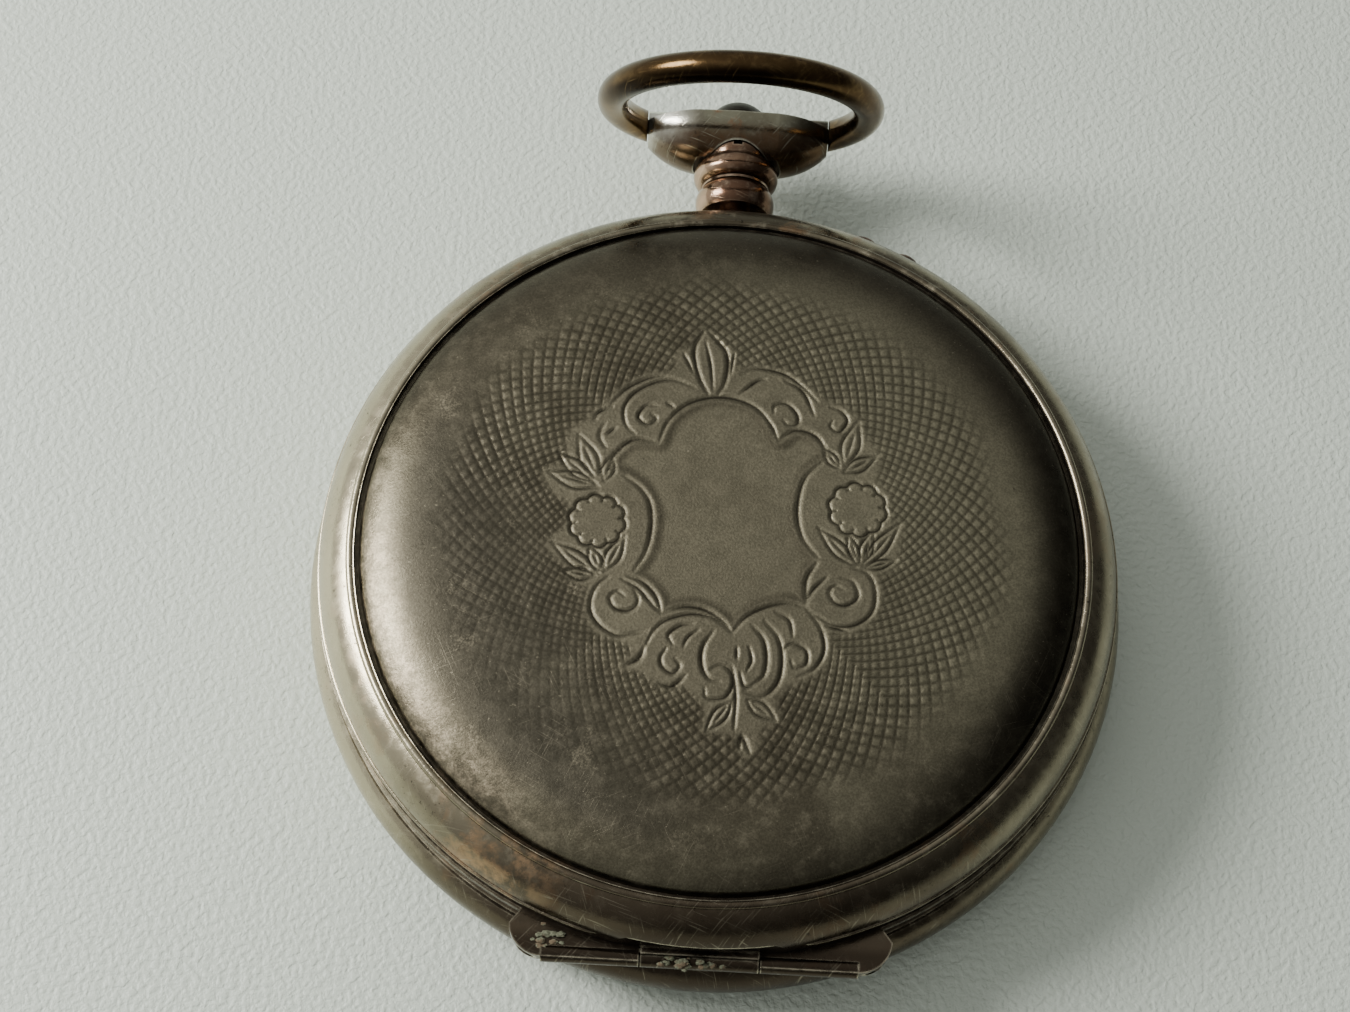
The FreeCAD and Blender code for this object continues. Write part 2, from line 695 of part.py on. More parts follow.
def bridges():
    bottom, top = d.bridge_bottom.value, d.bridge_top.value
    floor = d.plate_top.value
    whole = disc(d.bridge_radius.value, floor, top)

    top_outline = [(6.8, 22), (7.6, 13.0), (4.2, 9.2), (1.9, 1.2), (1.3, -1.3), (-1.2, -1.6),
                   (-8.5, -2.2), (-22, -2.6), (-22, 22)]
    foot_outline = [(-22, -2.4), (-15.0, -1.5), (-15.6, 7.0), (-12.5, 13.5), (-5, 16.0), (-3.4, 22),
                    (-22, 22)]
    bridge = slab(top_outline, bottom, top).common(whole)
    bridge = bridge.fuse(slab(foot_outline, floor, bottom).common(whole))
    bridge = bridge.fuse(disc(1.4, floor, bottom, *BARREL_BRIDGE_SCREWS[2]))
    holes = [disc(0.43, floor, 10), disc(0.65, floor, 10, d.barrel_x.value, d.barrel_y.value),
             disc(0.5, bottom + 0.2, 10, d.click_x.value, d.click_y.value),
             disc(0.95, bottom + 0.1, 10, 0, d.crown_wheel_y.value),
             Part.makeBox(4.2, 2.0, 4, V(-2.1, 17.2, bottom - 1)),
             Part.makeBox(2.4, 3.6, 0.4, V(-1.2, 13.7, bottom)),
             Part.makeBox(3.0, 1.2, 0.05, V(-1.5, 19.45, bottom))]
    holes += [disc(0.55, floor - 1, 10, x, y) for x, y in BARREL_BRIDGE_SCREWS]
    for hole in holes:
        bridge = bridge.cut(hole)
    shaped("barrel_bridge", bridge.removeSplitter())

    top_outline = [(-22, -6.4), (-9.5, -3.9), (-1.6, -4.4), (-0.2, -9.15), (0.5, -9.4), (0.7, -9.9),
                   (0.45, -10.5), (-0.2, -10.8), (-1.4, -13.0), (-2.6, -22), (-22, -22)]
    foot_outline = [(-22, -6.6), (-13, -9.5), (-7.5, -13.8), (-4.2, -22), (-22, -22)]
    bridge = slab(top_outline, bottom, top).common(whole)
    bridge = bridge.fuse(slab(foot_outline, floor, bottom).common(whole))
    holes = [disc(0.31, floor, 10, d.third_x.value, d.third_y.value),
             disc(0.23, floor, 10, 0, d.fourth_y.value),
             disc(0.6, top - 0.3, 10, d.third_x.value, d.third_y.value),
             disc(0.45, top - 0.3, 10, 0, d.fourth_y.value)]
    holes += [disc(0.55, floor - 1, 10, x, y) for x, y in TRAIN_BRIDGE_SCREWS]
    for hole in holes:
        bridge = bridge.cut(hole)
    shaped("train_bridge", bridge.removeSplitter())


def cocks():
    floor = d.plate_top.value
    ex, ey = d.escape_x.value, d.escape_y.value
    sx, sy = ESCAPE_COCK_SCREW
    arm = slab([(ex - 0.8, ey), (ex + 0.8, ey), (sx + 1.3, sy + 1.4), (sx - 1.3, sy + 1.4)],
               7.25, 7.6)
    cock = disc(0.8, 7.25, 7.6, ex, ey).fuse(arm)
    cock = cock.fuse(slab([(sx - 1.3, sy + 1.4), (sx + 1.3, sy + 1.4), (sx + 1.3, sy - 1.3),
                           (sx - 1.3, sy - 1.3)], floor, 7.6))
    for hole in (disc(0.13, 7, 8, ex, ey), disc(0.4, 7.3, 8, ex, ey), disc(0.4, 5, 8, sx, sy)):
        cock = cock.cut(hole)
    shaped("escape_cock", cock.removeSplitter())

    low, high = 8.85, 9.4
    outline = [on_cock(0, 1.7), on_cock(3.5, 1.9), on_cock(7.3, 2.6), on_cock(9.3, 2.6),
               on_cock(9.3, -2.6), on_cock(7.3, -2.6), on_cock(3.5, -1.9), on_cock(0, -1.7)]
    foot = [on_cock(7.3, 2.6), on_cock(9.3, 2.6), on_cock(9.3, -2.6), on_cock(7.3, -2.6)]
    bx, by = d.balance_x.value, d.balance_y.value
    cock = slab(outline, low, high).fuse(disc(1.7, low, high, bx, by))
    cock = cock.fuse(slab(foot, floor, low))
    stud_x, stud_y = on_cock(3.55)
    screw_x, screw_y = on_cock(8.3)
    for hole in (disc(0.13, 5, 10, bx, by), disc(0.6, 9.1, 10, bx, by),
                 disc(0.55, 5, 10, screw_x, screw_y), disc(0.3, 8.8, 9.2, stud_x, stud_y)):
        cock = cock.cut(hole)
    shaped("balance_cock", cock.removeSplitter())
    shaped("hairspring_stud", disc(0.3, 8.32, 9.2, stud_x, stud_y).cut(
        Part.makeBox(0.12, 2, 0.25, V(stud_x - 0.06, stud_y - 1, 8.3))))
    lever = ring(1.55, 0.72, 9.42, 9.62, bx, by)
    side = 105.0
    pointer = [polar(1.3, side - 22, bx, by), polar(5.4, side - 1.5, bx, by),
               polar(5.4, side + 1.5, bx, by), polar(1.3, side + 22, bx, by)]
    shaped("regulator", lever.fuse(slab(pointer, 9.42, 9.62)).cut(disc(0.72, 9, 10, bx, by)))


def fasteners():
    screws = [screw(x, y, 8.6, 0.55, 1.15, 0.45, 3.3, 25 * i)
              for i, (x, y) in enumerate(BARREL_BRIDGE_SCREWS + TRAIN_BRIDGE_SCREWS)]
    x, y = on_cock(8.3)
    screws.append(screw(x, y, 9.4, 0.55, 0.95, 0.35, 4.1, 60))
    screws.append(screw(*ESCAPE_COCK_SCREW, 7.6, 0.4, 0.8, 0.35, 2.3, 10))
    screws.append(screw(d.yoke_x.value, d.yoke_y.value, 6.55, 0.45, 0.95, 0.35, 1.3, 75))
    shaped("bridge_screws", Part.makeCompound(screws))
    shaped("case_screws", Part.makeCompound(
        [screw(x, y, d.plate_top.value, 0.5, 1.3, 0.6, 1.0, 40) for x, y in CASE_SCREWS]))
    top = d.bridge_top.value
    bx, by = d.balance_x.value, d.balance_y.value
    stones = [
        ring(0.6, 0.15, top - 0.3, top, d.third_x.value, d.third_y.value),
        ring(0.45, 0.15, top - 0.3, top, 0, d.fourth_y.value),
        ring(0.4, 0.13, 7.3, 7.6, d.escape_x.value, d.escape_y.value),
        disc(0.6, 9.4, 9.58, bx, by).fuse(ring(0.6, 0.13, 9.1, 9.4, bx, by)),
    ]
    shaped("jewels", Part.makeCompound(stones))


def winding_work():
    stem_z = d.pendant_height.value
    top = d.bridge_top.value
    blank = turned("winding_blank", [
        (d.stem_radius + 0.01, 17.4), (2.3, 17.4), (2.3, 18.9), (1.7, 19.0),
        (d.stem_radius + 0.01, 19.0),
    ], (0, 0, d.pendant_height), along="y")
    slots = []
    for i in range(TEETH["winding_pinion"]):
        x, z = polar(2.36, i * 360 / TEETH["winding_pinion"])
        slots.append(rod(0.22, 2.2, (x, 17.1, d.pendant_height + z), Y_AXIS))
    node("winding_pinion", cut(blank, *slots))
    blank = turned("sliding_blank", [
        (d.stem_radius + 0.03, 14.9), (1.6, 14.9), (1.6, 15.8), (1.0, 15.85), (1.0, 16.55),
        (1.6, 16.6), (1.6, 17.1), (d.stem_radius + 0.03, 17.1),
    ], (0, 0, d.pendant_height), along="y")
    slots = []
    for i in range(14):
        x, z = polar(1.66, i * 360 / 14)
        slots.append(rod(0.2, 0.75, (x, 14.8, d.pendant_height + z), Y_AXIS))
    node("sliding_pinion", cut(blank, *slots))

    module = d.winding_module.value
    low, high = top + 0.05, top + 0.6
    bx, by, cy = d.barrel_x.value, d.barrel_y.value, d.crown_wheel_y.value
    line = bearing_line(bx, by, 0, cy)
    ratchet = toothed(TEETH["ratchet_wheel"], module, low, high, line)
    ratchet.translate(V(bx, by, 0))
    square = Part.makeBox(0.84, 0.84, 3, V(bx - 0.42, by - 0.42, low - 1))
    shaped("ratchet_wheel", ratchet.cut(square))
    crown_wheel = toothed(TEETH["crown_wheel"], module, low, high,
                          gap_phase(line, TEETH["crown_wheel"]))
    crown_wheel.translate(V(0, cy, 0))
    shaped("crown_wheel", crown_wheel.cut(disc(1.0, low - 1, high + 1, 0, cy)))
    shaped("crown_wheel_screw", screw(0, cy, high + 0.02, 0.94, 1.9, 0.35, 1.3, 30))
    shaped("ratchet_screw", screw(bx, by, high + 0.02, 0.28, 1.5, 0.35, 1.0, 70))

    px, py = d.click_x.value, d.click_y.value
    beak = polar(6.1, 228, bx, by)
    arm = slab([(px + 0.45, py + 0.85), beak, (px - 0.1, py - 0.95)], low, high - 0.1)
    click = disc(0.95, low, high - 0.1, px, py).fuse(arm)
    shaped("click", click.cut(disc(0.5, low - 1, high + 1, px, py)).removeSplitter())
    shaped("click_screw", screw(px, py, high - 0.08, 0.45, 0.85, 0.3, 1.3, 15))
    foot = (-16.6, -0.2)
    leaf = slab([(foot[0] - 0.6, foot[1]), (foot[0] + 0.6, foot[1] - 0.3), (-13.6, 1.15),
                 (-12.7, 0.95), (-12.7, 1.1), (-13.6, 1.4), (foot[0] + 0.3, foot[1] + 0.6)],
                low, high - 0.2)
    shaped("click_spring", leaf.fuse(disc(0.6, low, high - 0.1, *foot)))

    qx, qy = d.yoke_x.value, d.yoke_y.value
    floor = d.plate_top.value
    arm = slab([(qx, qy + 1.0), (6.4, 16.25), (1.15, 16.35), (1.15, 16.05), (5.6, 15.2),
                (qx, qy - 1.0)], floor + 0.05, floor + 0.5)
    tail = slab([(qx - 0.9, qy + 0.6), (7.9, 18.75), (8.25, 18.6), (qx + 0.7, qy + 0.9)],
                floor + 0.05, floor + 0.5)
    yoke = disc(1.05, floor + 0.05, floor + 0.5, qx, qy).fuse([arm, tail])
    shaped("yoke", yoke.cut(disc(0.5, 5, 8, qx, qy)).removeSplitter())
    leaf = slab([(9.0, 11.5), (10.0, 11.5), (8.6, 12.5), (6.3, 14.3), (6.15, 14.15),
                 (8.2, 12.2)], floor, floor + 0.35)
    shaped("yoke_spring", leaf.fuse(disc(0.8, floor, floor + 0.5, 9.5, 11.2)))


def power():
    bx, by = d.barrel_x.value, d.barrel_y.value
    module = d.barrel_module.value
    line = bearing_line(0, 0, bx, by)
    flange = toothed(TEETH["barrel"], module, 5.05, 5.5, line + 180)
    drum = flange.fuse(disc(d.drum_radius.value, 5.05, 7.0))
    drum = drum.cut(disc(6.85, 5.4, 8)).cut(disc(0.68, 5, 6))
    drum.translate(V(bx, by, 0))
    shaped("barrel_drum", drum.removeSplitter())
    shaped("barrel_cover", ring(6.83, 0.68, 6.75, 7.0, bx, by))
    square = Part.makeBox(0.82, 0.82, 0.62, V(bx - 0.41, by - 0.41, 8.6))
    arbor = disc(0.6, 3.7, 8.6, bx, by).fuse([disc(1.3, 5.45, 6.7, bx, by), square])
    shaped("barrel_arbor", arbor.cut(disc(0.28, 8.0, 10, bx, by)).removeSplitter())
    spring = spiral_strip(1.6, 6.6, 9, 0.2, 5.5, 6.65)
    spring.translate(V(bx, by, 0))
    shaped("mainspring", spring)


def going_train():
    tx, ty, fy = d.third_x.value, d.third_y.value, d.fourth_y.value
    ex, ey = d.escape_x.value, d.escape_y.value
    pinion = toothed(TEETH["centre_pinion"], d.barrel_module.value, 4.97, 5.75,
                     gap_phase(bearing_line(d.barrel_x.value, d.barrel_y.value, 0, 0),
                               TEETH["centre_pinion"]))
    to_third = bearing_line(0, 0, tx, ty)
    wheel = toothed(TEETH["centre_wheel"], d.centre_module.value, 7.1, 7.3, to_third)
    wheel = spoked(wheel, 5, 1.4, 5.3, 7.1, 7.3, 0.6)
    arbor = disc(0.45, 1.6, 5.0).fuse([disc(0.4, 4.9, 8.6), disc(0.75, 5.7, 7.35), pinion, wheel])
    shaped("centre_wheel", arbor.removeSplitter())

    pinion = toothed(TEETH["third_pinion"], d.centre_module.value, 6.95, 7.4,
                     gap_phase(to_third, TEETH["third_pinion"]))
    to_fourth = bearing_line(tx, ty, 0, fy)
    wheel = toothed(TEETH["third_wheel"], d.third_module.value, 6.65, 6.8, to_fourth)
    wheel = spoked(wheel, 4, 0.9, 3.6, 6.65, 6.8, 0.45)
    arbor = disc(0.28, 6.05, 8.25).fuse([disc(0.12, 5.2, 8.58), disc(0.5, 6.6, 7.0), pinion, wheel])
    arbor.translate(V(tx, ty, 0))
    shaped("third_wheel", arbor.removeSplitter())

    pinion = toothed(TEETH["fourth_pinion"], d.third_module.value, 6.45, 6.95,
                     gap_phase(to_fourth, TEETH["fourth_pinion"]))
    to_escape = bearing_line(0, fy, ex, ey)
    wheel = toothed(TEETH["fourth_wheel"], d.fourth_module.value, 6.98, 7.12, to_escape)
    wheel = spoked(wheel, 4, 0.7, 3.05, 6.98, 7.12, 0.4)
    arbor = disc(0.2, 2.38, 8.25).fuse([disc(0.12, 8.0, 8.58), disc(0.4, 6.9, 7.2), pinion, wheel])
    arbor.translate(V(0, fy, 0))
    shaped("fourth_wheel", arbor.removeSplitter())

    pinion = toothed(TEETH["escape_pinion"], d.fourth_module.value, 6.82, 7.15,
                     gap_phase(to_escape, TEETH["escape_pinion"]))
    wheel = spoked(disc(2.7, 6.1, 6.25), 3, 0.7, 2.2, 6.1, 6.25, 0.35)
    arbor = disc(0.22, 6.05, 7.2).fuse([disc(0.1, 5.2, 7.58), disc(0.35, 6.1, 6.6), pinion, wheel])
    step = 360 / TEETH["escape_wheel"]
    teeth = []
    for i in range(TEETH["escape_wheel"]):
        angle = i * step
        stalk = [polar(2.6, angle - 2), polar(3.1, angle - 2), polar(3.1, angle + 2),
                 polar(2.6, angle + 2)]
        tooth = [polar(2.95, angle - 4), polar(3.3, angle + 8), polar(3.15, angle + 8),
                 polar(2.8, angle - 3)]
        teeth += [slab(stalk, 6.1, 6.4), slab(tooth, 6.3, 6.5)]
    arbor = arbor.fuse(teeth)
    arbor.translate(V(ex, ey, 0))
    shaped("escape_wheel", arbor.removeSplitter())


def balance():
    bx, by = d.balance_x.value, d.balance_y.value
    outer = d.balance_radius.value
    wheel = spoked(disc(outer, 7.8, 8.2), 3, 1.0, outer - 0.75, 7.8, 8.2, 0.6)
    wheel = wheel.cut(disc(0.31, 7, 9))
    wheel.translate(V(bx, by, 0))
    shaped("balance_wheel", wheel)
    hollow = disc(0.42, 6.15, 6.75).fuse(Part.makeBox(2, 2, 0.6, V(-2, -1, 6.15)))
    staff = disc(0.55, 6.05, 7.0).cut(hollow)
    staff = staff.fuse([disc(0.3, 6.9, 8.75), disc(0.1, 8.7, 9.38), disc(0.1, 5.0, 6.1)])
    staff.rotate(V(0, 0, 0), Z_AXIS, bearing_line(bx, by, d.escape_x.value, d.escape_y.value) + 180)
    staff.translate(V(bx, by, 0))
    shaped("balance_cylinder", staff.removeSplitter())
    shaped("balance_collet", ring(0.72, 0.31, 8.32, 8.58, bx, by))
    spring = spiral_strip(0.95, 3.15, 9, 0.07, 8.38, 8.5, start=cock_frame())
    spring.translate(V(bx, by, 0))
    shaped("hairspring", spring)


def motion_work():
    module, hour_module = d.motion_module.value, d.hour_module.value
    my, sy = d.minute_wheel_y.value, d.setting_wheel_y.value
    cannon = ring(0.7, 0.46, 1.95, 4.4).fuse(
        toothed(TEETH["cannon_pinion"], module, 3.95, 4.4, 90).cut(disc(0.46, 3, 5)))
    shaped("cannon_pinion", cannon.removeSplitter())
    minute_phase = gap_phase(90, TEETH["minute_wheel"])
    wheel = toothed(TEETH["minute_wheel"], module, 4.0, 4.2, minute_phase)
    pinion = toothed(TEETH["minute_pinion"], hour_module, 3.55, 4.0, -90)
    wheel = wheel.fuse(pinion).cut(disc(0.33, 3, 5))
    wheel.translate(V(0, my, 0))
    shaped("minute_wheel", wheel.removeSplitter())
    wheel = toothed(TEETH["hour_wheel"], hour_module, 3.58, 3.83,
                    gap_phase(-90, TEETH["hour_wheel"]))
    wheel = wheel.fuse(disc(1.05, 2.05, 3.6)).cut(disc(0.74, 1, 5))
    shaped("hour_wheel", wheel.removeSplitter())
    share = ((90 - minute_phase) * TEETH["minute_wheel"] / 360) % 1
    phase = gap_phase(90, TEETH["setting_wheel"]) + share * 360 / TEETH["setting_wheel"]
    wheel = toothed(TEETH["setting_wheel"], module, 4.0, 4.2, phase).cut(disc(0.43, 3, 5))
    wheel = spoked(wheel, 4, 1.2, 3.3, 4.0, 4.2, 0.6)
    wheel.translate(V(0, sy, 0))
    shaped("setting_wheel", wheel)


def dial_and_hands():
    front, back = d.dial_front.value, d.dial_back.value
    fy = d.fourth_y.value
    plate = disc(d.dial_radius.value, front, back)
    for hole in (disc(1.3, 2, 4), disc(0.4, 2, 4, 0, fy), disc(4.3, 2, front + 0.15, 0, fy)):
        plate = plate.cut(hole)
    feet = [disc(0.4, back, 5.0, x, y) for x, y in DIAL_FEET]
    shaped("dial", plate.fuse(feet).removeSplitter())

    hour = slab([(-0.35, 0.8), (-0.22, 6.0), (-0.9, 7.2), (0, 10.6), (0.9, 7.2), (0.22, 6.0),
                 (0.35, 0.8)], 2.1, 2.3)
    hour = hour.fuse(disc(1.5, 2.1, 2.3)).cut(disc(1.06, 1, 3))
    shaped("hour_hand", hour.rotate(V(0, 0, 0), Z_AXIS, HOUR_ANGLE))
    minute = slab([(-0.3, 0.6), (-0.18, 10.5), (-0.7, 11.9), (0, 16.6), (0.7, 11.9), (0.18, 10.5),
                   (0.3, 0.6)], 1.68, 1.86)
    minute = minute.fuse(disc(1.1, 1.68, 1.86)).cut(disc(0.46, 1, 3))
    shaped("minute_hand", minute.rotate(V(0, 0, 0), Z_AXIS, MINUTE_ANGLE))
    second = slab([(-0.12, -1.3), (-0.05, 3.7), (0.05, 3.7), (0.12, -1.3)], 2.42, 2.52)
    second = second.fuse(disc(0.42, 2.42, 2.6)).cut(disc(0.21, 2, 3))
    second.rotate(V(0, 0, 0), Z_AXIS, SECOND_ANGLE)
    second.translate(V(0, fy, 0))
    shaped("second_hand", second)


def check_and_write():
    """Stops on any failed object or bad shape, then writes one STEP file per sub-part."""
    doc.recompute()
    failed = [o.Label for o in doc.Objects if set(o.State) & {"Invalid", "Error"}]
    if failed:
        raise SystemExit(f"failed objects: {failed}")
    labels = [obj.Label for obj in nodes]
    if len(set(labels)) != len(labels):
        raise SystemExit("two sub-parts share a label")
    for obj in nodes:
        shape = obj.Shape
        if shape.isNull() or not shape.isValid() or not shape.Solids:
            raise SystemExit(f"bad shape: {obj.Label}")
    os.makedirs("parts", exist_ok=True)
    for obj in nodes:
        obj.Shape.exportStep(f"parts/{obj.Label}.step")
    print(f"{len(nodes)} sub-parts written")


middle_object = case_middle()
bezel()
back_cover()
cuvette()
pendant()
bow()
crown_and_stem()
setting_pin_pieces(middle_object)
main_plate()
bridges()
cocks()
fasteners()
winding_work()
power()
going_train()
balance()
motion_work()
dial_and_hands()
check_and_write()
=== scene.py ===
"""Looks of the open-face fob watch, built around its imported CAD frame.

Lengths in the design tables are millimetres in the part's own frame: the crystal's face is at z 0,
the back is up, and the pendant is at +Y. Meshes are made in metres.
"""

import json
import math

import bmesh
import bpy
import numpy as np
from mathutils import Matrix, Vector


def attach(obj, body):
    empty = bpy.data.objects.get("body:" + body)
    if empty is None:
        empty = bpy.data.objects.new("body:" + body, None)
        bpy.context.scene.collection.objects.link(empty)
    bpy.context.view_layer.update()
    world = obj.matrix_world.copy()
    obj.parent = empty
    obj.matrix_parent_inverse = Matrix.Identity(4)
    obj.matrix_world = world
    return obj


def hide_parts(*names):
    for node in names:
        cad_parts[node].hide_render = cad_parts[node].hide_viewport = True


MM = 0.001

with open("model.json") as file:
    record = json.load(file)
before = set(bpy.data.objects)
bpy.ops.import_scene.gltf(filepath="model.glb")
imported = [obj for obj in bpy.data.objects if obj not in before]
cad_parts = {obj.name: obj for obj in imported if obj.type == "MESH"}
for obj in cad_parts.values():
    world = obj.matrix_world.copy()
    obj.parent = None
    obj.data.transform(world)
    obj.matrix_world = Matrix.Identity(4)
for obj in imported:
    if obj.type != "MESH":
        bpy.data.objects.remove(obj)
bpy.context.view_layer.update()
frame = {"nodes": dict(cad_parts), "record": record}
nodes = frame["nodes"]
slot_of = {part["node"]: part["material_slot"] for part in frame["record"]["subparts"]}


# ---- node helpers

def add(tree, kind, settings=None, **inputs):
    """A shader node with its settings and inputs; an input's spaces are written as underscores."""
    node = tree.nodes.new("ShaderNode" + kind)
    for key, value in (settings or {}).items():
        setattr(node, key, value)
    for key, value in inputs.items():
        put(tree, node.inputs[key.replace("_", " ")], value)
    return node


def put(tree, socket, value):
    if isinstance(value, bpy.types.NodeSocket):
        tree.links.new(value, socket)
    elif socket.type == "RGBA" and len(value) == 3:
        socket.default_value = (*value, 1)
    else:
        socket.default_value = value


def calc(tree, operation, a, b=0.0, clamp=False):
    node = add(tree, "Math", {"operation": operation, "use_clamp": clamp})
    put(tree, node.inputs[0], a)
    put(tree, node.inputs[1], b)
    return node.outputs[0]


def mix(tree, factor, a, b, blend="MIX"):
    node = add(tree, "Mix", {"data_type": "RGBA", "blend_type": blend})
    put(tree, node.inputs[0], factor)
    put(tree, node.inputs[6], a)
    put(tree, node.inputs[7], b)
    return node.outputs[2]


def step(tree, value, low, high, to_low=0.0, to_high=1.0):
    """Value rescaled from low..high to to_low..to_high, clamped and eased."""
    node = add(tree, "MapRange", {"interpolation_type": "SMOOTHSTEP"}, Value=value)
    for name, number in (("From Min", low), ("From Max", high), ("To Min", to_low), ("To Max", to_high)):
        node.inputs[name].default_value = number
    return node.outputs[0]


def millimetres(tree, rotation=0.0, stretch=(1, 1, 1), shift=(0, 0, 0)):
    """The piece's own coordinates in millimetres, turned about Z and stretched."""
    source = add(tree, "TexCoord").outputs["Object"]
    scale = tuple(s / MM for s in stretch)
    turn = add(tree, "Mapping", Vector=source, Rotation=(0, 0, rotation))
    return add(tree, "Mapping", Vector=turn.outputs[0], Scale=scale, Location=shift).outputs[0]


def noise(tree, vector, scale, detail=4.0, roughness=0.55, distortion=0.0):
    return add(tree, "TexNoise", Vector=vector, Scale=scale, Detail=detail, Roughness=roughness,
               Distortion=distortion).outputs[0]


def scratches(tree, angles, length=0.35, fineness=14.0, amount=0.64):
    """Fine straight scratches in the given directions, 1 in a scratch."""
    total = None
    for index, angle in enumerate(angles):
        space = millimetres(tree, angle, (length, fineness, length), (7.3 * index, 3.1, 0))
        line = step(tree, noise(tree, space, 1.0, 2.0, 0.5), amount, amount + 0.05)
        patchy = step(tree, noise(tree, millimetres(tree, angle * 3), 0.22, 2.0), 0.46, 0.6)
        line = calc(tree, "MULTIPLY", line, patchy)
        total = line if total is None else calc(tree, "MAXIMUM", total, line)
    return total


def new_material(name):
    material = bpy.data.materials.new(name)
    material.use_nodes = True
    tree = material.node_tree
    tree.nodes.clear()
    output = tree.nodes.new("ShaderNodeOutputMaterial")
    shader = add(tree, "BsdfPrincipled")
    tree.links.new(shader.outputs[0], output.inputs["Surface"])
    return material, tree, shader


def bumped(tree, shader, height, distance):
    """Gives the shader a bump from a height of 0..1; the distance is in millimetres."""
    node = add(tree, "Bump", Height=height, Strength=1.0, Distance=distance * MM)
    tree.links.new(node.outputs[0], shader.inputs["Normal"])


# ---- materials

BUMP, GRAIN, RUBBED_EDGE = 0.05, 0.006, 0.17
SCRATCH_ANGLES = (0.3, 1.2, 2.3)
COPPER_PLACE = (-12.5, -20.5)
EARS_Y, EARS_HALF_SPAN, EARS_FADE = -24.0, 12.0, 0.4
BOW_LEAN = math.radians(105.6)
BOW_FLANK = (-33.15, -32.6)


def lighter(colour, factor):
    return tuple(min(1, channel * factor) for channel in colour)


def old_metal(name, base, dark, bright, rough, patch=None, patch_share=0.5, speckle=0.5, dirt_and_shade=0.8,
              dirt_and_shade_reach=0.5, scratch=0.5, striped=None, dents=0.02, shade=None, edge=0.0):
    """Handled metal: clouds of tarnish, patches of another colour, specks, scratches, rubbed edges, and dirt
    with painted shade in recesses.
    """
    material, tree, shader = new_material(name)
    space = millimetres(tree)
    cloud = noise(tree, space, 0.14, 5.0, 0.6, 0.6)
    mottle = noise(tree, space, 1.1, 7.0, 0.65)
    fine = noise(tree, space, 9.0, 3.0)
    colour = mix(tree, step(tree, cloud, 0.36, 0.66), base, dark)
    colour = mix(tree, step(tree, mottle, 0.5, 0.74, 0, 0.55), colour, bright)
    if patch:
        where = calc(tree, "ADD", calc(tree, "MULTIPLY", noise(tree, space, 0.21, 4.0, 0.6, 1.0), 0.7),
                     calc(tree, "MULTIPLY", mottle, 0.3))
        colour = mix(tree, step(tree, where, patch_share, patch_share + 0.08), colour, patch)
    if shade:
        colour = shade(tree, colour)
    specks = calc(tree, "MULTIPLY", step(tree, noise(tree, space, 3.4, 5.0, 0.7), 0.6, 0.68),
                  step(tree, cloud, 0.4, 0.6, 0.2, 1.0))
    colour = mix(tree, calc(tree, "MULTIPLY", specks, speckle), colour, tuple(c * 0.25 for c in dark))
    marks = scratches(tree, SCRATCH_ANGLES)
    colour = mix(tree, calc(tree, "MULTIPLY", marks, scratch * 0.7), colour, lighter(bright, 1.25))
    roughness = step(tree, calc(tree, "ADD", calc(tree, "MULTIPLY", cloud, 0.5),
                                calc(tree, "MULTIPLY", mottle, 0.5)), 0.35, 0.65, *rough)
    if edge:
        rounded = add(tree, "Bevel", {"samples": 3}, Radius=RUBBED_EDGE * MM).outputs[0]
        turn = add(tree, "VectorMath", {"operation": "DOT_PRODUCT"})
        put(tree, turn.inputs[0], rounded)
        put(tree, turn.inputs[1], add(tree, "NewGeometry").outputs["Normal"])
        rubbed = calc(tree, "MULTIPLY", step(tree, turn.outputs["Value"], 0.985, 0.86),
                      step(tree, mottle, 0.35, 0.6, 0.35, 1.0))
        colour = mix(tree, calc(tree, "MULTIPLY", rubbed, edge), colour, lighter(bright, 1.4))
    # Ambient occlusion darkens recesses: real dirt there, with painted shade as well.
    if dirt_and_shade:
        recess = add(tree, "AmbientOcclusion", {"samples": 4}, Distance=dirt_and_shade_reach * MM).outputs["AO"]
        open_air = calc(tree, "ADD", recess, calc(tree, "MULTIPLY", mottle, 0.35))
        grime_and_shade = step(tree, open_air, 0.55, 1.0, dirt_and_shade, 0.0)
        colour = mix(tree, grime_and_shade, colour, (0.018, 0.014, 0.011))
        roughness = calc(tree, "MAXIMUM", roughness, calc(tree, "MULTIPLY", grime_and_shade, 0.85))
    height = calc(tree, "ADD", calc(tree, "MULTIPLY", fine, GRAIN / BUMP),
                  calc(tree, "MULTIPLY", noise(tree, space, 0.55, 2.0), dents / BUMP))
    height = calc(tree, "SUBTRACT", height, calc(tree, "MULTIPLY", marks, 0.1 * scratch))
    height = calc(tree, "SUBTRACT", height, calc(tree, "MULTIPLY", specks, 0.08 * speckle))
    if striped:
        wave = add(tree, "TexWave", {"wave_type": "BANDS", "bands_direction": "X", "wave_profile": "SIN"},
                   Vector=millimetres(tree, striped[0]), Scale=striped[1], Distortion=0.15).outputs[1]
        height = calc(tree, "ADD", height, calc(tree, "MULTIPLY", wave, 0.16))
        roughness = calc(tree, "ADD", roughness, calc(tree, "MULTIPLY", wave, 0.12))
    put(tree, shader.inputs["Base Color"], colour)
    put(tree, shader.inputs["Roughness"], roughness)
    shader.inputs["Metallic"].default_value = 1.0
    bumped(tree, shader, height, BUMP)
    return material


def axis(tree, index):
    """One of the piece's own coordinates in millimetres."""
    return add(tree, "SeparateXYZ", Vector=millimetres(tree)).outputs[index]


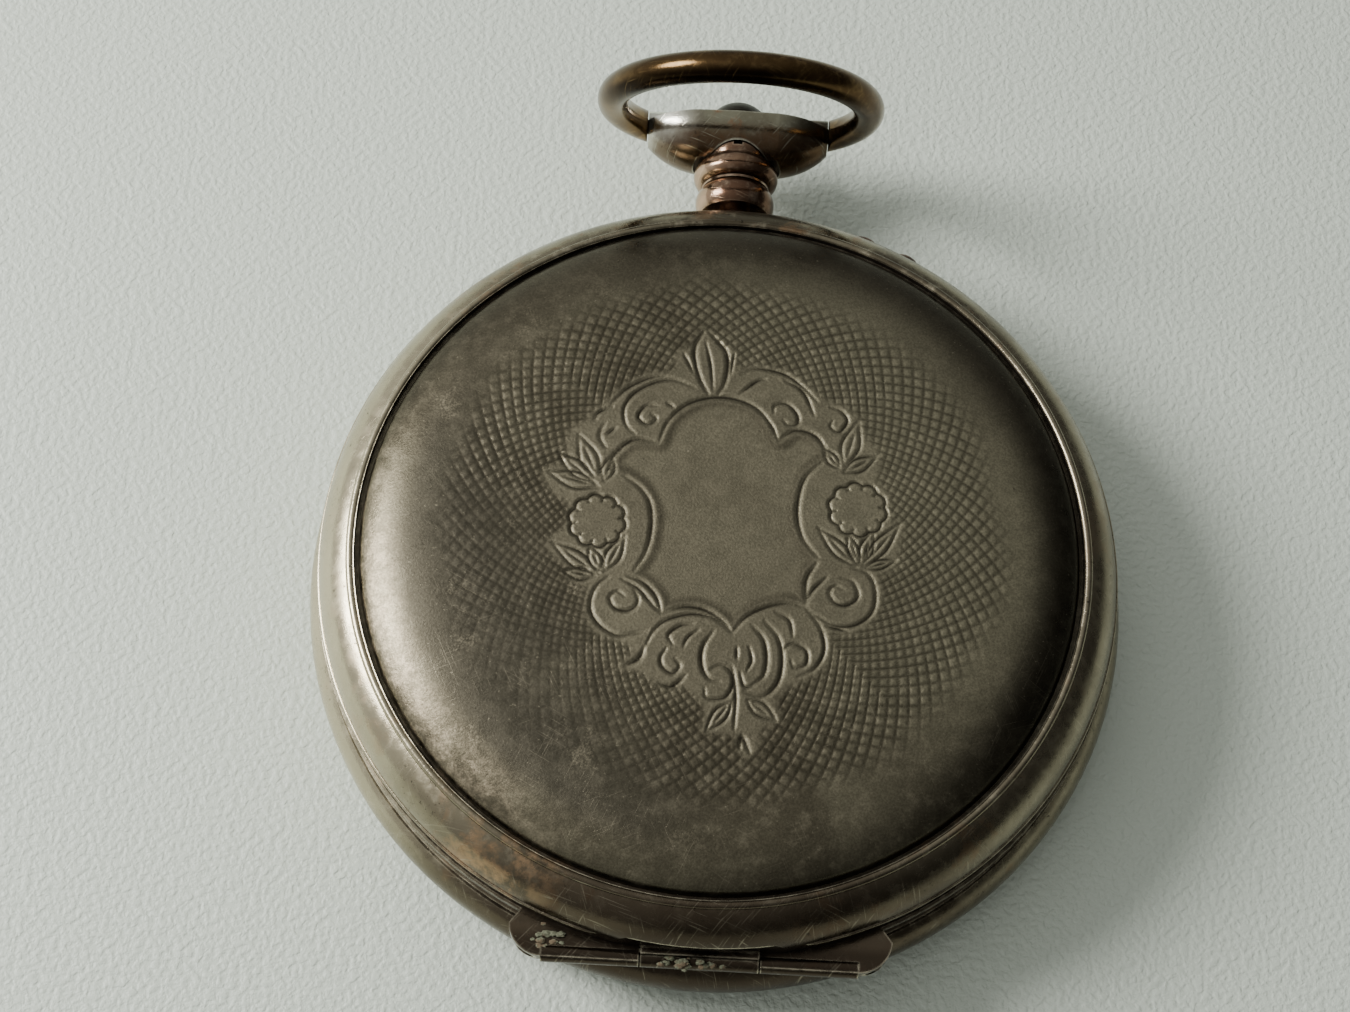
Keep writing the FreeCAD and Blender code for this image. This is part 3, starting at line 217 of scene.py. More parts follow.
def painted_side_light(left, right, low=-20.0, high=20.0, amount=0.7):
    """Paints light and shade on a metal by where it lies across the watch: the lit left colour at low, the
    shaded right one at high.
    """
    def shade(tree, colour):
        across = axis(tree, 0)
        tinted = mix(tree, step(tree, across, low, 0.35 * low, amount, 0.0), colour, left)
        return mix(tree, step(tree, across, 0.35 * high, high, 0.0, amount), tinted, right)
    return shade


def case_shade(tree, colour):
    """The case's tint: painted light on the left, brown painted shade towards the hinge and darker on the
    ears, copper low on the left.
    """
    x, y = axis(tree, 0), axis(tree, 1)
    mottle = noise(tree, millimetres(tree), 0.5, 6.0, 0.7)
    # Painted light on the left and painted shade on the right, over the tarnish.
    colour = painted_side_light((0.70, 0.62, 0.44), (0.27, 0.235, 0.17), -27.0, 25.0, 0.74)(tree, colour)
    # Painted shade: brown towards the hinge, darker still on the ears.
    low = calc(tree, "MULTIPLY", step(tree, y, -15.0, -24.0), 0.88)
    colour = mix(tree, low, colour, (0.078, 0.057, 0.040))
    ears = step(tree, calc(tree, "ABSOLUTE", x), EARS_HALF_SPAN + EARS_FADE, EARS_HALF_SPAN - EARS_FADE)
    ears = calc(tree, "MULTIPLY", ears, step(tree, y, EARS_Y + EARS_FADE, EARS_Y - EARS_FADE))
    colour = mix(tree, calc(tree, "MULTIPLY", ears, 0.6), colour, (0.036, 0.026, 0.019))
    away = calc(tree, "ADD", calc(tree, "ABSOLUTE", calc(tree, "SUBTRACT", x, COPPER_PLACE[0])),
                calc(tree, "ABSOLUTE", calc(tree, "SUBTRACT", y, COPPER_PLACE[1])))
    rubbed = calc(tree, "MULTIPLY", step(tree, away, 7.0, 1.5), step(tree, mottle, 0.42, 0.6))
    rubbed = calc(tree, "MULTIPLY", rubbed, step(tree, axis(tree, 2), 7.2, 8.2))
    return mix(tree, calc(tree, "MULTIPLY", rubbed, 0.8), colour, (0.44, 0.285, 0.165))


def head_shade(tree, colour):
    """The pendant head's tint: a painted highlight at its left end, painted shade at its right, brown towards
    the neck.
    """
    y = axis(tree, 1)
    # Painted highlight on the left end and painted shade on the right.
    colour = painted_side_light((0.92, 0.92, 0.82), (0.045, 0.04, 0.028), -5.6, 6.0, 0.92)(tree, colour)
    patchy = calc(tree, "MULTIPLY", noise(tree, millimetres(tree), 0.7, 5.0), 1.6)
    brown = step(tree, calc(tree, "ADD", y, patchy), 32.9, 31.5, 0.0, 0.9)
    return mix(tree, brown, colour, (0.125, 0.075, 0.043))


def bow_shade(tree, colour):
    """The bow's painted shade and dark reflection: its arch dull on the left, nearly black on the flank
    towards the case.
    """
    x, y, z = axis(tree, 0), axis(tree, 1), axis(tree, 2)
    flank = calc(tree, "ADD", calc(tree, "MULTIPLY", y, -math.sin(BOW_LEAN)),
                 calc(tree, "MULTIPLY", z, math.cos(BOW_LEAN)))
    left = step(tree, x, 5.5, 0.5)
    arch = calc(tree, "MULTIPLY", step(tree, z, 12.0, 17.0), left)
    # Painted shade dulls the window highlight on the arch's left.
    colour = mix(tree, calc(tree, "MULTIPLY", arch, 0.62), colour, (0.055, 0.034, 0.016))
    # A painted dark reflection, nearly black, on the flank towards the case.
    dark = calc(tree, "MULTIPLY", step(tree, flank, *BOW_FLANK), arch)
    return mix(tree, calc(tree, "MULTIPLY", dark, 0.92), colour, (0.012, 0.007, 0.004))


def dome_silver():
    """Dark toned silver whose recesses, engraving and worn high spots come from the mesh's own values, with
    painted light and shade by side: shade on the window side and at the top, light on the far side, a
    highlight on the window-side edge, near black on the far edge.
    """
    material, tree, shader = new_material("dome_silver")
    space = millimetres(tree)
    cut = add(tree, "Attribute", {"attribute_name": "cut"}).outputs["Fac"]
    field = add(tree, "Attribute", {"attribute_name": "field"}).outputs["Fac"]
    burr = add(tree, "Attribute", {"attribute_name": "burr"}).outputs["Fac"]
    valley = add(tree, "Attribute", {"attribute_name": "valley"}).outputs["Fac"]
    x, y = axis(tree, 0), axis(tree, 1)
    cloud = noise(tree, space, 0.11, 6.0, 0.62, 0.8)
    mottle = noise(tree, space, 0.9, 7.0, 0.68)
    fine = noise(tree, space, 7.0, 4.0, 0.7)
    radius = calc(tree, "SQRT", calc(tree, "ADD", calc(tree, "MULTIPLY", x, x), calc(tree, "MULTIPLY", y, y)))
    colour = mix(tree, step(tree, cloud, 0.35, 0.65), (0.190, 0.172, 0.120), (0.128, 0.113, 0.079))
    colour = mix(tree, step(tree, mottle, 0.48, 0.72, 0, 0.5), colour, (0.250, 0.226, 0.162))
    # A mask of the side the window lights, for the painted light and shade below.
    lit = calc(tree, "ADD", calc(tree, "MULTIPLY", x, -0.9), calc(tree, "MULTIPLY", y, -0.42))
    lit = calc(tree, "ADD", lit, calc(tree, "MULTIPLY", cloud, 7.0))
    edge = step(tree, radius, 19.0, 21.3)
    inside = step(tree, radius, 21.0, 18.6)
    # Painted shade: the window-lit side of the field darker.
    lit_side_painted_shade = calc(tree, "MULTIPLY", step(tree, lit, 9.0, 19.0), inside)
    colour = mix(tree, calc(tree, "MULTIPLY", lit_side_painted_shade, 0.85), colour, (0.080, 0.073, 0.056))
    # Painted light: the field on the side away from the window lighter.
    clear = calc(tree, "MULTIPLY", step(tree, lit, 7.0, -12.0), inside)
    colour = mix(tree, calc(tree, "MULTIPLY", clear, 0.65), colour, (0.345, 0.320, 0.222))
    # Worn bright metal with a painted highlight on the window-side edge.
    warm_wear_and_highlight = calc(tree, "MULTIPLY", step(tree, lit, 18.0, 25.5), edge)
    warm_wear_and_highlight = calc(tree, "MULTIPLY", warm_wear_and_highlight, step(tree, mottle, 0.32, 0.72, 0.3, 1.0))
    warm_wear_and_highlight = calc(tree, "MULTIPLY", warm_wear_and_highlight, step(tree, noise(tree, space, 1.7, 8.0, 0.8), 0.43, 0.57, 0.2, 1.0))
    colour = mix(tree, calc(tree, "MULTIPLY", warm_wear_and_highlight, 0.9), colour, (0.46, 0.385, 0.275))
    # Painted shade: the edge away from the window near black.
    far_edge_painted_shade = calc(tree, "MULTIPLY", step(tree, lit, 2.0, -10.0), step(tree, radius, 18.2, 21.2))
    colour = mix(tree, calc(tree, "MULTIPLY", far_edge_painted_shade, 0.8), colour, (0.022, 0.018, 0.014))
    # Painted shade: the upper part of the field darker.
    upper = calc(tree, "MULTIPLY", step(tree, y, 2.0, 12.0), step(tree, radius, 15.5, 19.5))
    colour = mix(tree, calc(tree, "MULTIPLY", upper, 0.62), colour, (0.085, 0.074, 0.054))
    colour = mix(tree, calc(tree, "MULTIPLY", field, 0.5), colour, (0.200, 0.182, 0.128))
    # Darkens the guilloché's valleys, which is patina, and a band along the shield's bevel, which is painted
    # shade.
    colour = mix(tree, calc(tree, "MULTIPLY", valley, 0.78), colour, (0.034, 0.029, 0.020))
    colour = mix(tree, calc(tree, "MULTIPLY", burr, 0.10), colour, (0.50, 0.46, 0.35))
    colour = mix(tree, step(tree, cut, 0.5, 1.0, 0.0, 0.85), colour, (0.016, 0.013, 0.010))
    # Worn bright specks, stronger on the window side: wear with a painted highlight.
    worn = calc(tree, "MULTIPLY", step(tree, noise(tree, space, 0.33, 6.0, 0.75), 0.56, 0.68),
                step(tree, fine, 0.42, 0.6))
    worn = calc(tree, "MULTIPLY", worn, step(tree, lit, -2.0, 14.0, 0.12, 0.9))
    colour = mix(tree, calc(tree, "MULTIPLY", worn, 0.3), colour, (0.40, 0.35, 0.25))
    marks = scratches(tree, (0.5, 1.1, 2.0, 2.75), 0.3, 16.0, 0.65)
    marks = calc(tree, "MULTIPLY", marks, step(tree, y, 6.0, -12.0, 0.18, 1.0))
    colour = mix(tree, calc(tree, "MULTIPLY", marks, 0.25), colour, (0.36, 0.32, 0.235))
    colour = mix(tree, step(tree, fine, 0.38, 0.62, 0.32, 0.0), colour, (0.03, 0.026, 0.018))
    glints = calc(tree, "MULTIPLY", step(tree, noise(tree, space, 4.6, 3.0, 0.6), 0.66, 0.72), 0.35)
    colour = mix(tree, glints, colour, (0.40, 0.36, 0.26))
    pits = step(tree, noise(tree, space, 2.6, 4.0, 0.75), 0.66, 0.72)
    colour = mix(tree, calc(tree, "MULTIPLY", pits, 0.55), colour, (0.03, 0.024, 0.02))
    roughness = step(tree, mottle, 0.35, 0.68, 0.33, 0.5)
    roughness = calc(tree, "ADD", roughness, calc(tree, "MULTIPLY", field, 0.12))
    roughness = calc(tree, "SUBTRACT", roughness, calc(tree, "MULTIPLY", edge, 0.06))
    roughness = calc(tree, "SUBTRACT", roughness, calc(tree, "MULTIPLY", cut, 0.16), True)
    height = calc(tree, "MULTIPLY", fine, calc(tree, "ADD", calc(tree, "MULTIPLY", field, 0.25), 0.26))
    height = calc(tree, "SUBTRACT", height, calc(tree, "MULTIPLY", marks, 0.03))
    height = calc(tree, "SUBTRACT", height, calc(tree, "MULTIPLY", pits, 0.08))
    put(tree, shader.inputs["Base Color"], colour)
    put(tree, shader.inputs["Roughness"], roughness)
    shader.inputs["Metallic"].default_value = 1.0
    bumped(tree, shader, height, BUMP)
    return material


def glass():
    material, tree, shader = new_material("crystal_glass")
    space = millimetres(tree)
    smear = noise(tree, space, 0.4, 4.0)
    marks = scratches(tree, (0.2, 1.7), 0.5, 20.0, 0.66)
    rough = calc(tree, "ADD", step(tree, smear, 0.4, 0.7, 0.0, 0.04), calc(tree, "MULTIPLY", marks, 0.2))
    put(tree, shader.inputs["Base Color"], mix(tree, smear, (0.97, 0.98, 0.97), (0.93, 0.95, 0.94)))
    put(tree, shader.inputs["Roughness"], rough)
    shader.inputs["Transmission Weight"].default_value = 1.0
    shader.inputs["IOR"].default_value = 1.5
    bumped(tree, shader, calc(tree, "MULTIPLY", marks, -0.1), 0.01)
    return material


def enamel():
    """Fired white enamel: slightly uneven, with fine hairlines."""
    material, tree, shader = new_material("dial_enamel")
    space = millimetres(tree)
    wavy = noise(tree, space, 0.25, 3.0)
    cells = add(tree, "TexVoronoi", {"feature": "DISTANCE_TO_EDGE"}, Vector=millimetres(tree),
                Scale=0.045).outputs[0]
    hair = calc(tree, "MULTIPLY", step(tree, cells, 0.006, 0.0), step(tree, wavy, 0.5, 0.6))
    colour = mix(tree, step(tree, wavy, 0.4, 0.7), (0.86, 0.85, 0.80), (0.80, 0.78, 0.70))
    colour = mix(tree, calc(tree, "MULTIPLY", hair, 0.6), colour, (0.35, 0.30, 0.24))
    put(tree, shader.inputs["Base Color"], colour)
    put(tree, shader.inputs["Roughness"], step(tree, wavy, 0.3, 0.7, 0.10, 0.22))
    shader.inputs["Coat Weight"].default_value = 0.6
    shader.inputs["Coat Roughness"].default_value = 0.05
    bumped(tree, shader, wavy, 0.02)
    return material


def paint():
    material, tree, shader = new_material("dial_black")
    spots = noise(tree, millimetres(tree), 6.0, 4.0)
    put(tree, shader.inputs["Base Color"], mix(tree, spots, (0.012, 0.012, 0.014), (0.035, 0.032, 0.03)))
    put(tree, shader.inputs["Roughness"], step(tree, spots, 0.3, 0.7, 0.15, 0.35))
    bumped(tree, shader, spots, 0.004)
    return material


def ruby():
    material, tree, shader = new_material("ruby")
    veil = noise(tree, millimetres(tree), 2.5, 3.0)
    put(tree, shader.inputs["Base Color"], mix(tree, veil, (0.55, 0.02, 0.06), (0.75, 0.06, 0.12)))
    put(tree, shader.inputs["Roughness"], step(tree, veil, 0.3, 0.7, 0.03, 0.1))
    shader.inputs["Transmission Weight"].default_value = 0.55
    shader.inputs["IOR"].default_value = 1.76
    bumped(tree, shader, veil, 0.004)
    return material


def crust_green():
    """Dry pale green corrosion, powdery and broken in colour."""
    material, tree, shader = new_material("verdigris")
    space = millimetres(tree)
    grains = noise(tree, space, 5.0, 6.0, 0.7)
    colour = mix(tree, step(tree, grains, 0.35, 0.7), (0.10, 0.105, 0.065), (0.27, 0.285, 0.195))
    rust = step(tree, noise(tree, space, 2.2, 3.0), 0.48, 0.58, 0, 0.85)
    colour = mix(tree, rust, colour, (0.16, 0.11, 0.065))
    put(tree, shader.inputs["Base Color"], colour)
    put(tree, shader.inputs["Roughness"], step(tree, grains, 0.3, 0.7, 0.75, 0.95))
    bumped(tree, shader, grains, 0.12)
    return material


def table_top():
    """Off-white moulded sheet with an orange-peel surface."""
    material, tree, shader = new_material("table_top")
    space = millimetres(tree)
    peel = noise(tree, space, 2.3, 2.0, 0.4, 0.2)
    soft = noise(tree, space, 0.02, 2.0)
    dust = step(tree, noise(tree, space, 0.6, 2.0, 0.9), 0.83, 0.85)
    colour = mix(tree, soft, (0.74, 0.81, 0.72), (0.705, 0.775, 0.685))
    put(tree, shader.inputs["Base Color"], mix(tree, dust, colour, (0.2, 0.18, 0.16)))
    put(tree, shader.inputs["Roughness"], step(tree, peel, 0.3, 0.7, 0.42, 0.52))
    bumped(tree, shader, step(tree, peel, 0.3, 0.7), 0.05)
    return material


# Each metal is its body, dark and bright colours, its range of roughness, and its other settings.
METALS = {
    "case_silver": ((0.25, 0.22, 0.155), (0.105, 0.088, 0.06), (0.56, 0.51, 0.385), (0.17, 0.38), {
        "patch": (0.22, 0.145, 0.085), "patch_share": 0.55, "speckle": 0.9, "dirt_and_shade": 0.95,
        "dirt_and_shade_reach": 1.0, "scratch": 0.3, "shade": case_shade, "edge": 0.9}),
    "pin_steel": ((0.35, 0.33, 0.28), (0.16, 0.12, 0.09), (0.55, 0.52, 0.45), (0.22, 0.5), {"speckle": 0.8}),
    "pendant_copper": ((0.40, 0.265, 0.175), (0.15, 0.085, 0.055), (0.72, 0.56, 0.42), (0.08, 0.22), {
        "dirt_and_shade": 0.75, "dirt_and_shade_reach": 0.45, "edge": 0.5,
        # Painted highlight on the neck's left and painted shade on its right.
        "shade": painted_side_light((0.66, 0.47, 0.33), (0.11, 0.065, 0.045), -2.6, 2.6, 0.7)}),
    "pendant_silver": ((0.30, 0.29, 0.215), (0.14, 0.115, 0.075), (0.66, 0.66, 0.55), (0.10, 0.28), {
        "patch": (0.30, 0.18, 0.10), "patch_share": 0.52, "speckle": 0.6, "dirt_and_shade_reach": 0.6,
        "dents": 0.01, "edge": 0.7, "shade": head_shade}),
    "bow_bronze": ((0.185, 0.115, 0.05), (0.09, 0.052, 0.024), (0.36, 0.24, 0.105), (0.13, 0.27), {
        "patch": (0.27, 0.175, 0.08), "patch_share": 0.55, "speckle": 0.45, "dirt_and_shade": 0.7,
        "dirt_and_shade_reach": 1.5, "scratch": 0.35, "dents": 0.006, "shade": bow_shade}),
    "crown_dark": ((0.032, 0.027, 0.02), (0.016, 0.013, 0.01), (0.10, 0.085, 0.065), (0.24, 0.5), {
        "speckle": 0.8}),
    "guard_brown": ((0.17, 0.09, 0.065), (0.06, 0.035, 0.03), (0.42, 0.28, 0.19), (0.2, 0.42), {
        "speckle": 0.8}),
    "hand_gilt": ((0.80, 0.56, 0.22), (0.52, 0.33, 0.12), (0.95, 0.76, 0.42), (0.14, 0.3), {
        "speckle": 0.3, "dirt_and_shade": 0.3}),
    "hand_blue": ((0.03, 0.05, 0.16), (0.015, 0.02, 0.07), (0.06, 0.12, 0.34), (0.14, 0.3), {
        "speckle": 0.3, "dirt_and_shade": 0.3}),
    "plate_gilt": ((0.78, 0.57, 0.26), (0.55, 0.37, 0.16), (0.90, 0.73, 0.42), (0.24, 0.38), {
        "speckle": 0.35, "dirt_and_shade": 0.55, "scratch": 0.3, "dents": 0.004, "striped": (0.6, 0.10)}),
    "wheel_brass": ((0.76, 0.57, 0.24), (0.50, 0.35, 0.14), (0.90, 0.75, 0.42), (0.20, 0.34), {
        "speckle": 0.3, "dirt_and_shade": 0.5, "scratch": 0.4, "dents": 0.004}),
    "steel": ((0.56, 0.56, 0.55), (0.38, 0.37, 0.36), (0.75, 0.75, 0.74), (0.14, 0.3), {
        "speckle": 0.35, "dirt_and_shade": 0.5, "dents": 0.004}),
    "blued_steel": ((0.05, 0.08, 0.26), (0.03, 0.04, 0.12), (0.10, 0.18, 0.48), (0.14, 0.28), {
        "speckle": 0.2, "dirt_and_shade": 0.3, "dents": 0.004}),
    "spring_steel": ((0.34, 0.35, 0.38), (0.20, 0.20, 0.24), (0.50, 0.52, 0.56), (0.18, 0.3), {
        "speckle": 0.3, "dirt_and_shade": 0.4, "dents": 0.004}),
}
finishes = {name: old_metal(name, *tones, **settings) for name, (*tones, settings) in METALS.items()}
finishes.update(dome_silver=dome_silver(), dial_enamel=enamel(), crystal_glass=glass(), ruby=ruby())


def finish_nodes():
    """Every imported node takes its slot's procedural finish."""
    for name, piece in nodes.items():
        piece.data.materials.clear()
        piece.data.materials.append(finishes[slot_of[name]])


def piece_from(name, points, faces, body, material, smooth=True):
    """A mesh in millimetres turned into a piece that rides on a body."""
    mesh = bpy.data.meshes.new(name)
    mesh.from_pydata((np.asarray(points, float) * MM).tolist(), [], faces)
    mesh.materials.append(material)
    mesh.polygons.foreach_set("use_smooth", [smooth] * len(mesh.polygons))
    mesh.update()
    piece = bpy.data.objects.new(name, mesh)
    bpy.context.scene.collection.objects.link(piece)
    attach(piece, body)
    return piece


# ---- the engraved dome

TILT = math.radians(8.3)
FIELD_CENTRE = 0.35
BOLD, MEDIUM, FINE = 0.19, 0.155, 0.125

OUTLINE = [
    (0.1, 13.9), (0.9, 12.7), (1.8, 12.2), (1.8, 10.9), (3.1, 11.0), (4.7, 10.5), (5.8, 9.6), (6.9, 8.4),
    (8.2, 7.7), (8.9, 6.9), (9.2, 5.6), (9.9, 4.3), (9.8, 3.2), (9.4, 2.6), (10.1, 1.6), (10.0, 0.0),
    (10.7, -0.5), (10.6, -1.2), (10.1, -2.6), (9.9, -3.2), (8.9, -3.9), (8.9, -5.2), (8.2, -6.5),
    (6.8, -7.3), (5.6, -7.2), (5.4, -8.4), (4.5, -9.7), (3.0, -10.2), (1.9, -11.0), (1.9, -12.4),
    (0.8, -12.9), (0.2, -14.3), (-0.7, -14.2), (-1.0, -13.0), (-2.8, -12.7), (-2.5, -11.4), (-2.8, -10.8),
    (-3.7, -9.7), (-5.2, -9.6), (-6.2, -8.6), (-7.3, -8.3), (-6.4, -7.2), (-7.4, -6.5), (-8.6, -5.8),
    (-9.0, -4.3), (-8.8, -3.0), (-9.7, -2.4), (-9.8, -1.6), (-10.8, -0.6), (-10.8, 0.4), (-9.8, 1.2),
    (-9.6, 2.6), (-10.5, 3.6), (-10.8, 5.1), (-9.4, 5.4), (-9.1, 7.3), (-7.9, 8.2), (-6.5, 9.4),
    (-5.3, 10.4), (-3.8, 11.1), (-2.2, 11.1), (-1.8, 12.5), (-0.9, 12.8),
]

STROKES = {
    BOLD: [
        [(-3.6, 6.2), (-2.8, 7.7), (-1.5, 8.7), (0.2, 9.0), (1.8, 8.6), (3.0, 7.6), (3.8, 5.7)],
        [(3.8, 5.7), (4.9, 6.3), (6.1, 5.8), (6.8, 4.4)],
        [(6.4, 4.1), (5.1, 3.0), (4.4, 1.0), (4.5, -0.9), (5.3, -2.3)],
        [(5.2, -2.6), (4.4, -3.7), (4.2, -5.3)],
        [(4.2, -5.4), (2.9, -5.1), (1.6, -5.3), (0.5, -5.8), (-0.4, -6.7)],
        [(-0.4, -6.7), (-0.9, -5.9), (-1.9, -5.1), (-3.1, -4.8), (-4.5, -5.1)],
        [(-4.5, -5.1), (-4.7, -4.0), (-5.4, -3.0), (-6.3, -2.5)],
        [(-5.9, -2.2), (-5.1, -1.1), (-4.6, 0.4), (-4.5, 2.0), (-5.0, 3.2), (-5.9, 4.1)],
        [(-6.6, 4.4), (-6.7, 5.1), (-6.2, 5.8), (-5.1, 6.5), (-3.6, 6.2)],
        [(0.0, 13.8), (-0.7, 12.7), (-0.8, 11.5), (-0.6, 10.3), (-0.2, 9.2)],
        [(0.2, 13.8), (0.8, 12.9), (1.2, 12.1), (1.2, 11.1), (0.8, 9.8), (0.3, 9.1)],
        [(-1.5, -6.5), (-2.2, -7.4), (-2.4, -8.5), (-2.1, -9.4), (-1.4, -9.7)],
        [(1.6, -6.1), (2.3, -7.2), (2.4, -8.6), (2.0, -10.0), (1.0, -10.8), (-0.1, -10.4)],
        [(0.8, -6.3), (1.4, -7.2), (1.5, -8.3), (1.2, -9.5), (0.4, -10.1)],
        [(-0.7, -13.9), (-0.5, -13.2), (-0.1, -14.2)],
        [(-5.7, -7.1), (-6.1, -7.8), (-7.0, -8.2)],
    ],
    MEDIUM: [
        [(-6.3, 9.1), (-5.2, 10.1), (-3.8, 10.7), (-2.7, 10.8)],
        [(-5.0, 6.9), (-5.5, 7.6), (-5.5, 8.8), (-4.7, 9.8), (-3.3, 10.4), (-2.2, 10.4), (-1.0, 9.8)],
        [(-3.4, 8.7), (-4.1, 8.8), (-4.7, 8.1), (-4.2, 7.5), (-3.6, 7.8), (-3.9, 8.2)],
        [(1.7, 9.1), (2.9, 9.9), (3.5, 10.0)],
        [(1.9, 10.5), (3.0, 10.8), (4.6, 10.3), (5.6, 9.4), (6.5, 8.2)],
        [(4.6, 9.9), (5.7, 8.9), (6.2, 7.2)],
        [(3.7, 7.6), (3.8, 8.1), (4.5, 8.2), (5.1, 7.5), (5.1, 6.8), (4.5, 6.7), (4.2, 7.1)],
        [(7.2, 7.8), (7.9, 7.4), (8.2, 6.7), (7.6, 6.0), (7.1, 6.4), (7.3, 6.8)],
        [(7.2, -3.1), (8.2, -3.6), (8.5, -4.8), (8.1, -6.1), (7.0, -6.8), (5.7, -6.7), (4.5, -5.8)],
        [(6.5, -3.7), (7.2, -4.0), (7.4, -5.0), (6.7, -5.5), (6.0, -5.3), (5.7, -4.6), (6.1, -4.2),
         (6.6, -4.5)],
        [(5.7, -3.6), (4.8, -4.3), (4.3, -5.0)],
        [(-7.4, -2.4), (-8.3, -3.1), (-8.7, -4.3), (-8.3, -5.4), (-7.3, -6.2), (-6.3, -6.2), (-5.4, -6.1)],
        [(-6.0, -3.3), (-5.8, -4.2), (-6.4, -4.7), (-7.2, -4.5), (-7.5, -3.8), (-7.0, -3.4), (-6.6, -3.8)],
        [(-6.7, -2.6), (-5.7, -3.4), (-5.1, -4.3), (-4.5, -5.1)],
        [(-5.6, -7.0), (-5.0, -6.1), (-4.1, -5.5), (-2.6, -5.3), (-1.4, -5.7), (-0.5, -6.6)],
        [(-4.0, -7.1), (-4.2, -6.5), (-3.5, -6.0), (-2.6, -5.9)],
        [(-4.4, -7.3), (-4.8, -7.9), (-4.7, -8.5), (-4.2, -8.9), (-3.7, -8.5), (-4.0, -8.0)],
        [(-5.1, -9.4), (-4.3, -9.7), (-3.4, -9.1)],
        [(-2.0, -8.9), (-1.2, -8.7), (-0.7, -9.2), (-0.7, -10.0), (-1.3, -10.7), (-2.3, -10.6),
         (-2.4, -10.0)],
        [(2.3, -5.6), (3.1, -6.2), (3.2, -7.2)],
        [(4.2, -5.5), (4.9, -6.8), (5.0, -8.2), (4.3, -9.3), (3.2, -9.8)],
        [(2.4, -8.1), (3.1, -7.7), (3.9, -8.2), (3.8, -9.0), (3.1, -9.2), (2.9, -8.7)],
        [(-0.9, -8.6), (-0.6, -9.0), (-0.6, -10.7), (-0.9, -12.7)],
    ],
    FINE: [
        [(0.0, 13.0), (0.15, 11.4), (0.1, 9.6)],
        [(-1.5, 12.3), (-1.2, 11.5), (-1.0, 10.8)],
        [(1.7, 12.0), (1.5, 11.3), (1.3, 10.5)],
        [(-7.5, 8.0), (-7.1, 8.6), (-6.2, 8.9)],
        [(-6.1, 7.5), (-6.8, 7.0)],
        [(-2.4, 8.5), (-2.9, 8.9)],
        [(2.8, 7.9), (3.5, 6.7), (3.7, 5.9)],
        [(5.2, -6.7), (6.6, -7.2)],
        [(-3.4, -7.3), (-3.0, -6.7), (-2.3, -6.3)],
        [(-0.2, -9.2), (0.0, -10.1), (0.6, -10.1)],
        [(-6.9, 6.1), (-7.2, 7.0), (-6.8, 7.9)],
        [(0.5, -7.6), (0.6, -8.5), (0.2, -9.2)],
        [(-0.2, -7.6), (-0.3, -8.4)],
    ],
}
SHIELD_SIDES = 9
SHIELD_BEVEL = 0.9
ROSETTES = ((-7.8, 1.3, 1.7), (8.1, 0.7, 1.75))


# Each leaf is its base, its tip and its width.
LEAVES = [
    ((-7.5, 3.5), (-10.6, 4.9), 1.1), ((-7.7, 3.8), (-9.9, 6.2), 1.0), ((-7.5, 4.0), (-8.5, 7.3), 1.1),
    ((-7.2, 3.8), (-6.5, 5.6), 0.8), ((7.5, 3.2), (9.8, 4.2), 0.9), ((7.6, 3.6), (8.9, 6.7), 1.1),
    ((7.3, 3.5), (6.5, 5.0), 0.7), ((-8.0, -2.2), (-10.7, 0.2), 1.0), ((-8.2, -2.3), (-10.2, -1.8), 0.8),
    ((-7.9, -2.0), (-8.4, -0.3), 0.8), ((-7.7, -2.1), (-6.2, 0.2), 0.9), ((7.6, -3.1), (5.5, -0.3), 0.9),
    ((7.7, -3.0), (7.3, -0.8), 0.7), ((7.8, -3.0), (8.9, -0.7), 0.8), ((7.9, -3.1), (10.6, -0.4), 0.9),
    ((8.0, -3.2), (10.1, -2.8), 0.6), ((-0.8, -10.9), (-2.6, -12.7), 0.8), ((0.0, -10.9), (1.7, -12.4), 0.8),
]


def leaf_edges(base, tip, width):
    """The two bowed edges and the vein of a pointed leaf."""
    base, tip = np.array(base), np.array(tip)
    run = tip - base
    side = np.array([-run[1], run[0]]) / np.hypot(*run) * width / 2
    return ([base, base + 0.45 * run + side, tip], [base, base + 0.45 * run - side, tip],
            [base + 0.2 * run, base + 0.7 * run])


def curve_through(points, closed=False, pitch=0.12):
    """Evenly dense points on a Catmull-Rom curve through the given ones."""
    points = np.asarray(points, float)
    if closed:
        ends = np.vstack([points[-1:], points, points[:2]])
    else:
        ends = np.vstack([2 * points[:1] - points[1:2], points, 2 * points[-1:] - points[-2:-1]])
    result = []
    for p0, p1, p2, p3 in zip(ends[:-3], ends[1:-2], ends[2:-1], ends[3:]):
        count = max(2, int(np.hypot(*(p2 - p1)) / pitch))
        t = (np.arange(count) / count)[:, None]
        result.append(0.5 * (2 * p1 + (p2 - p0) * t + (2 * p0 - 5 * p1 + 4 * p2 - p3) * t ** 2
                             + (3 * p1 - p0 - 3 * p2 + p3) * t ** 3))
    return np.vstack(result + [ends[-2:-1]])


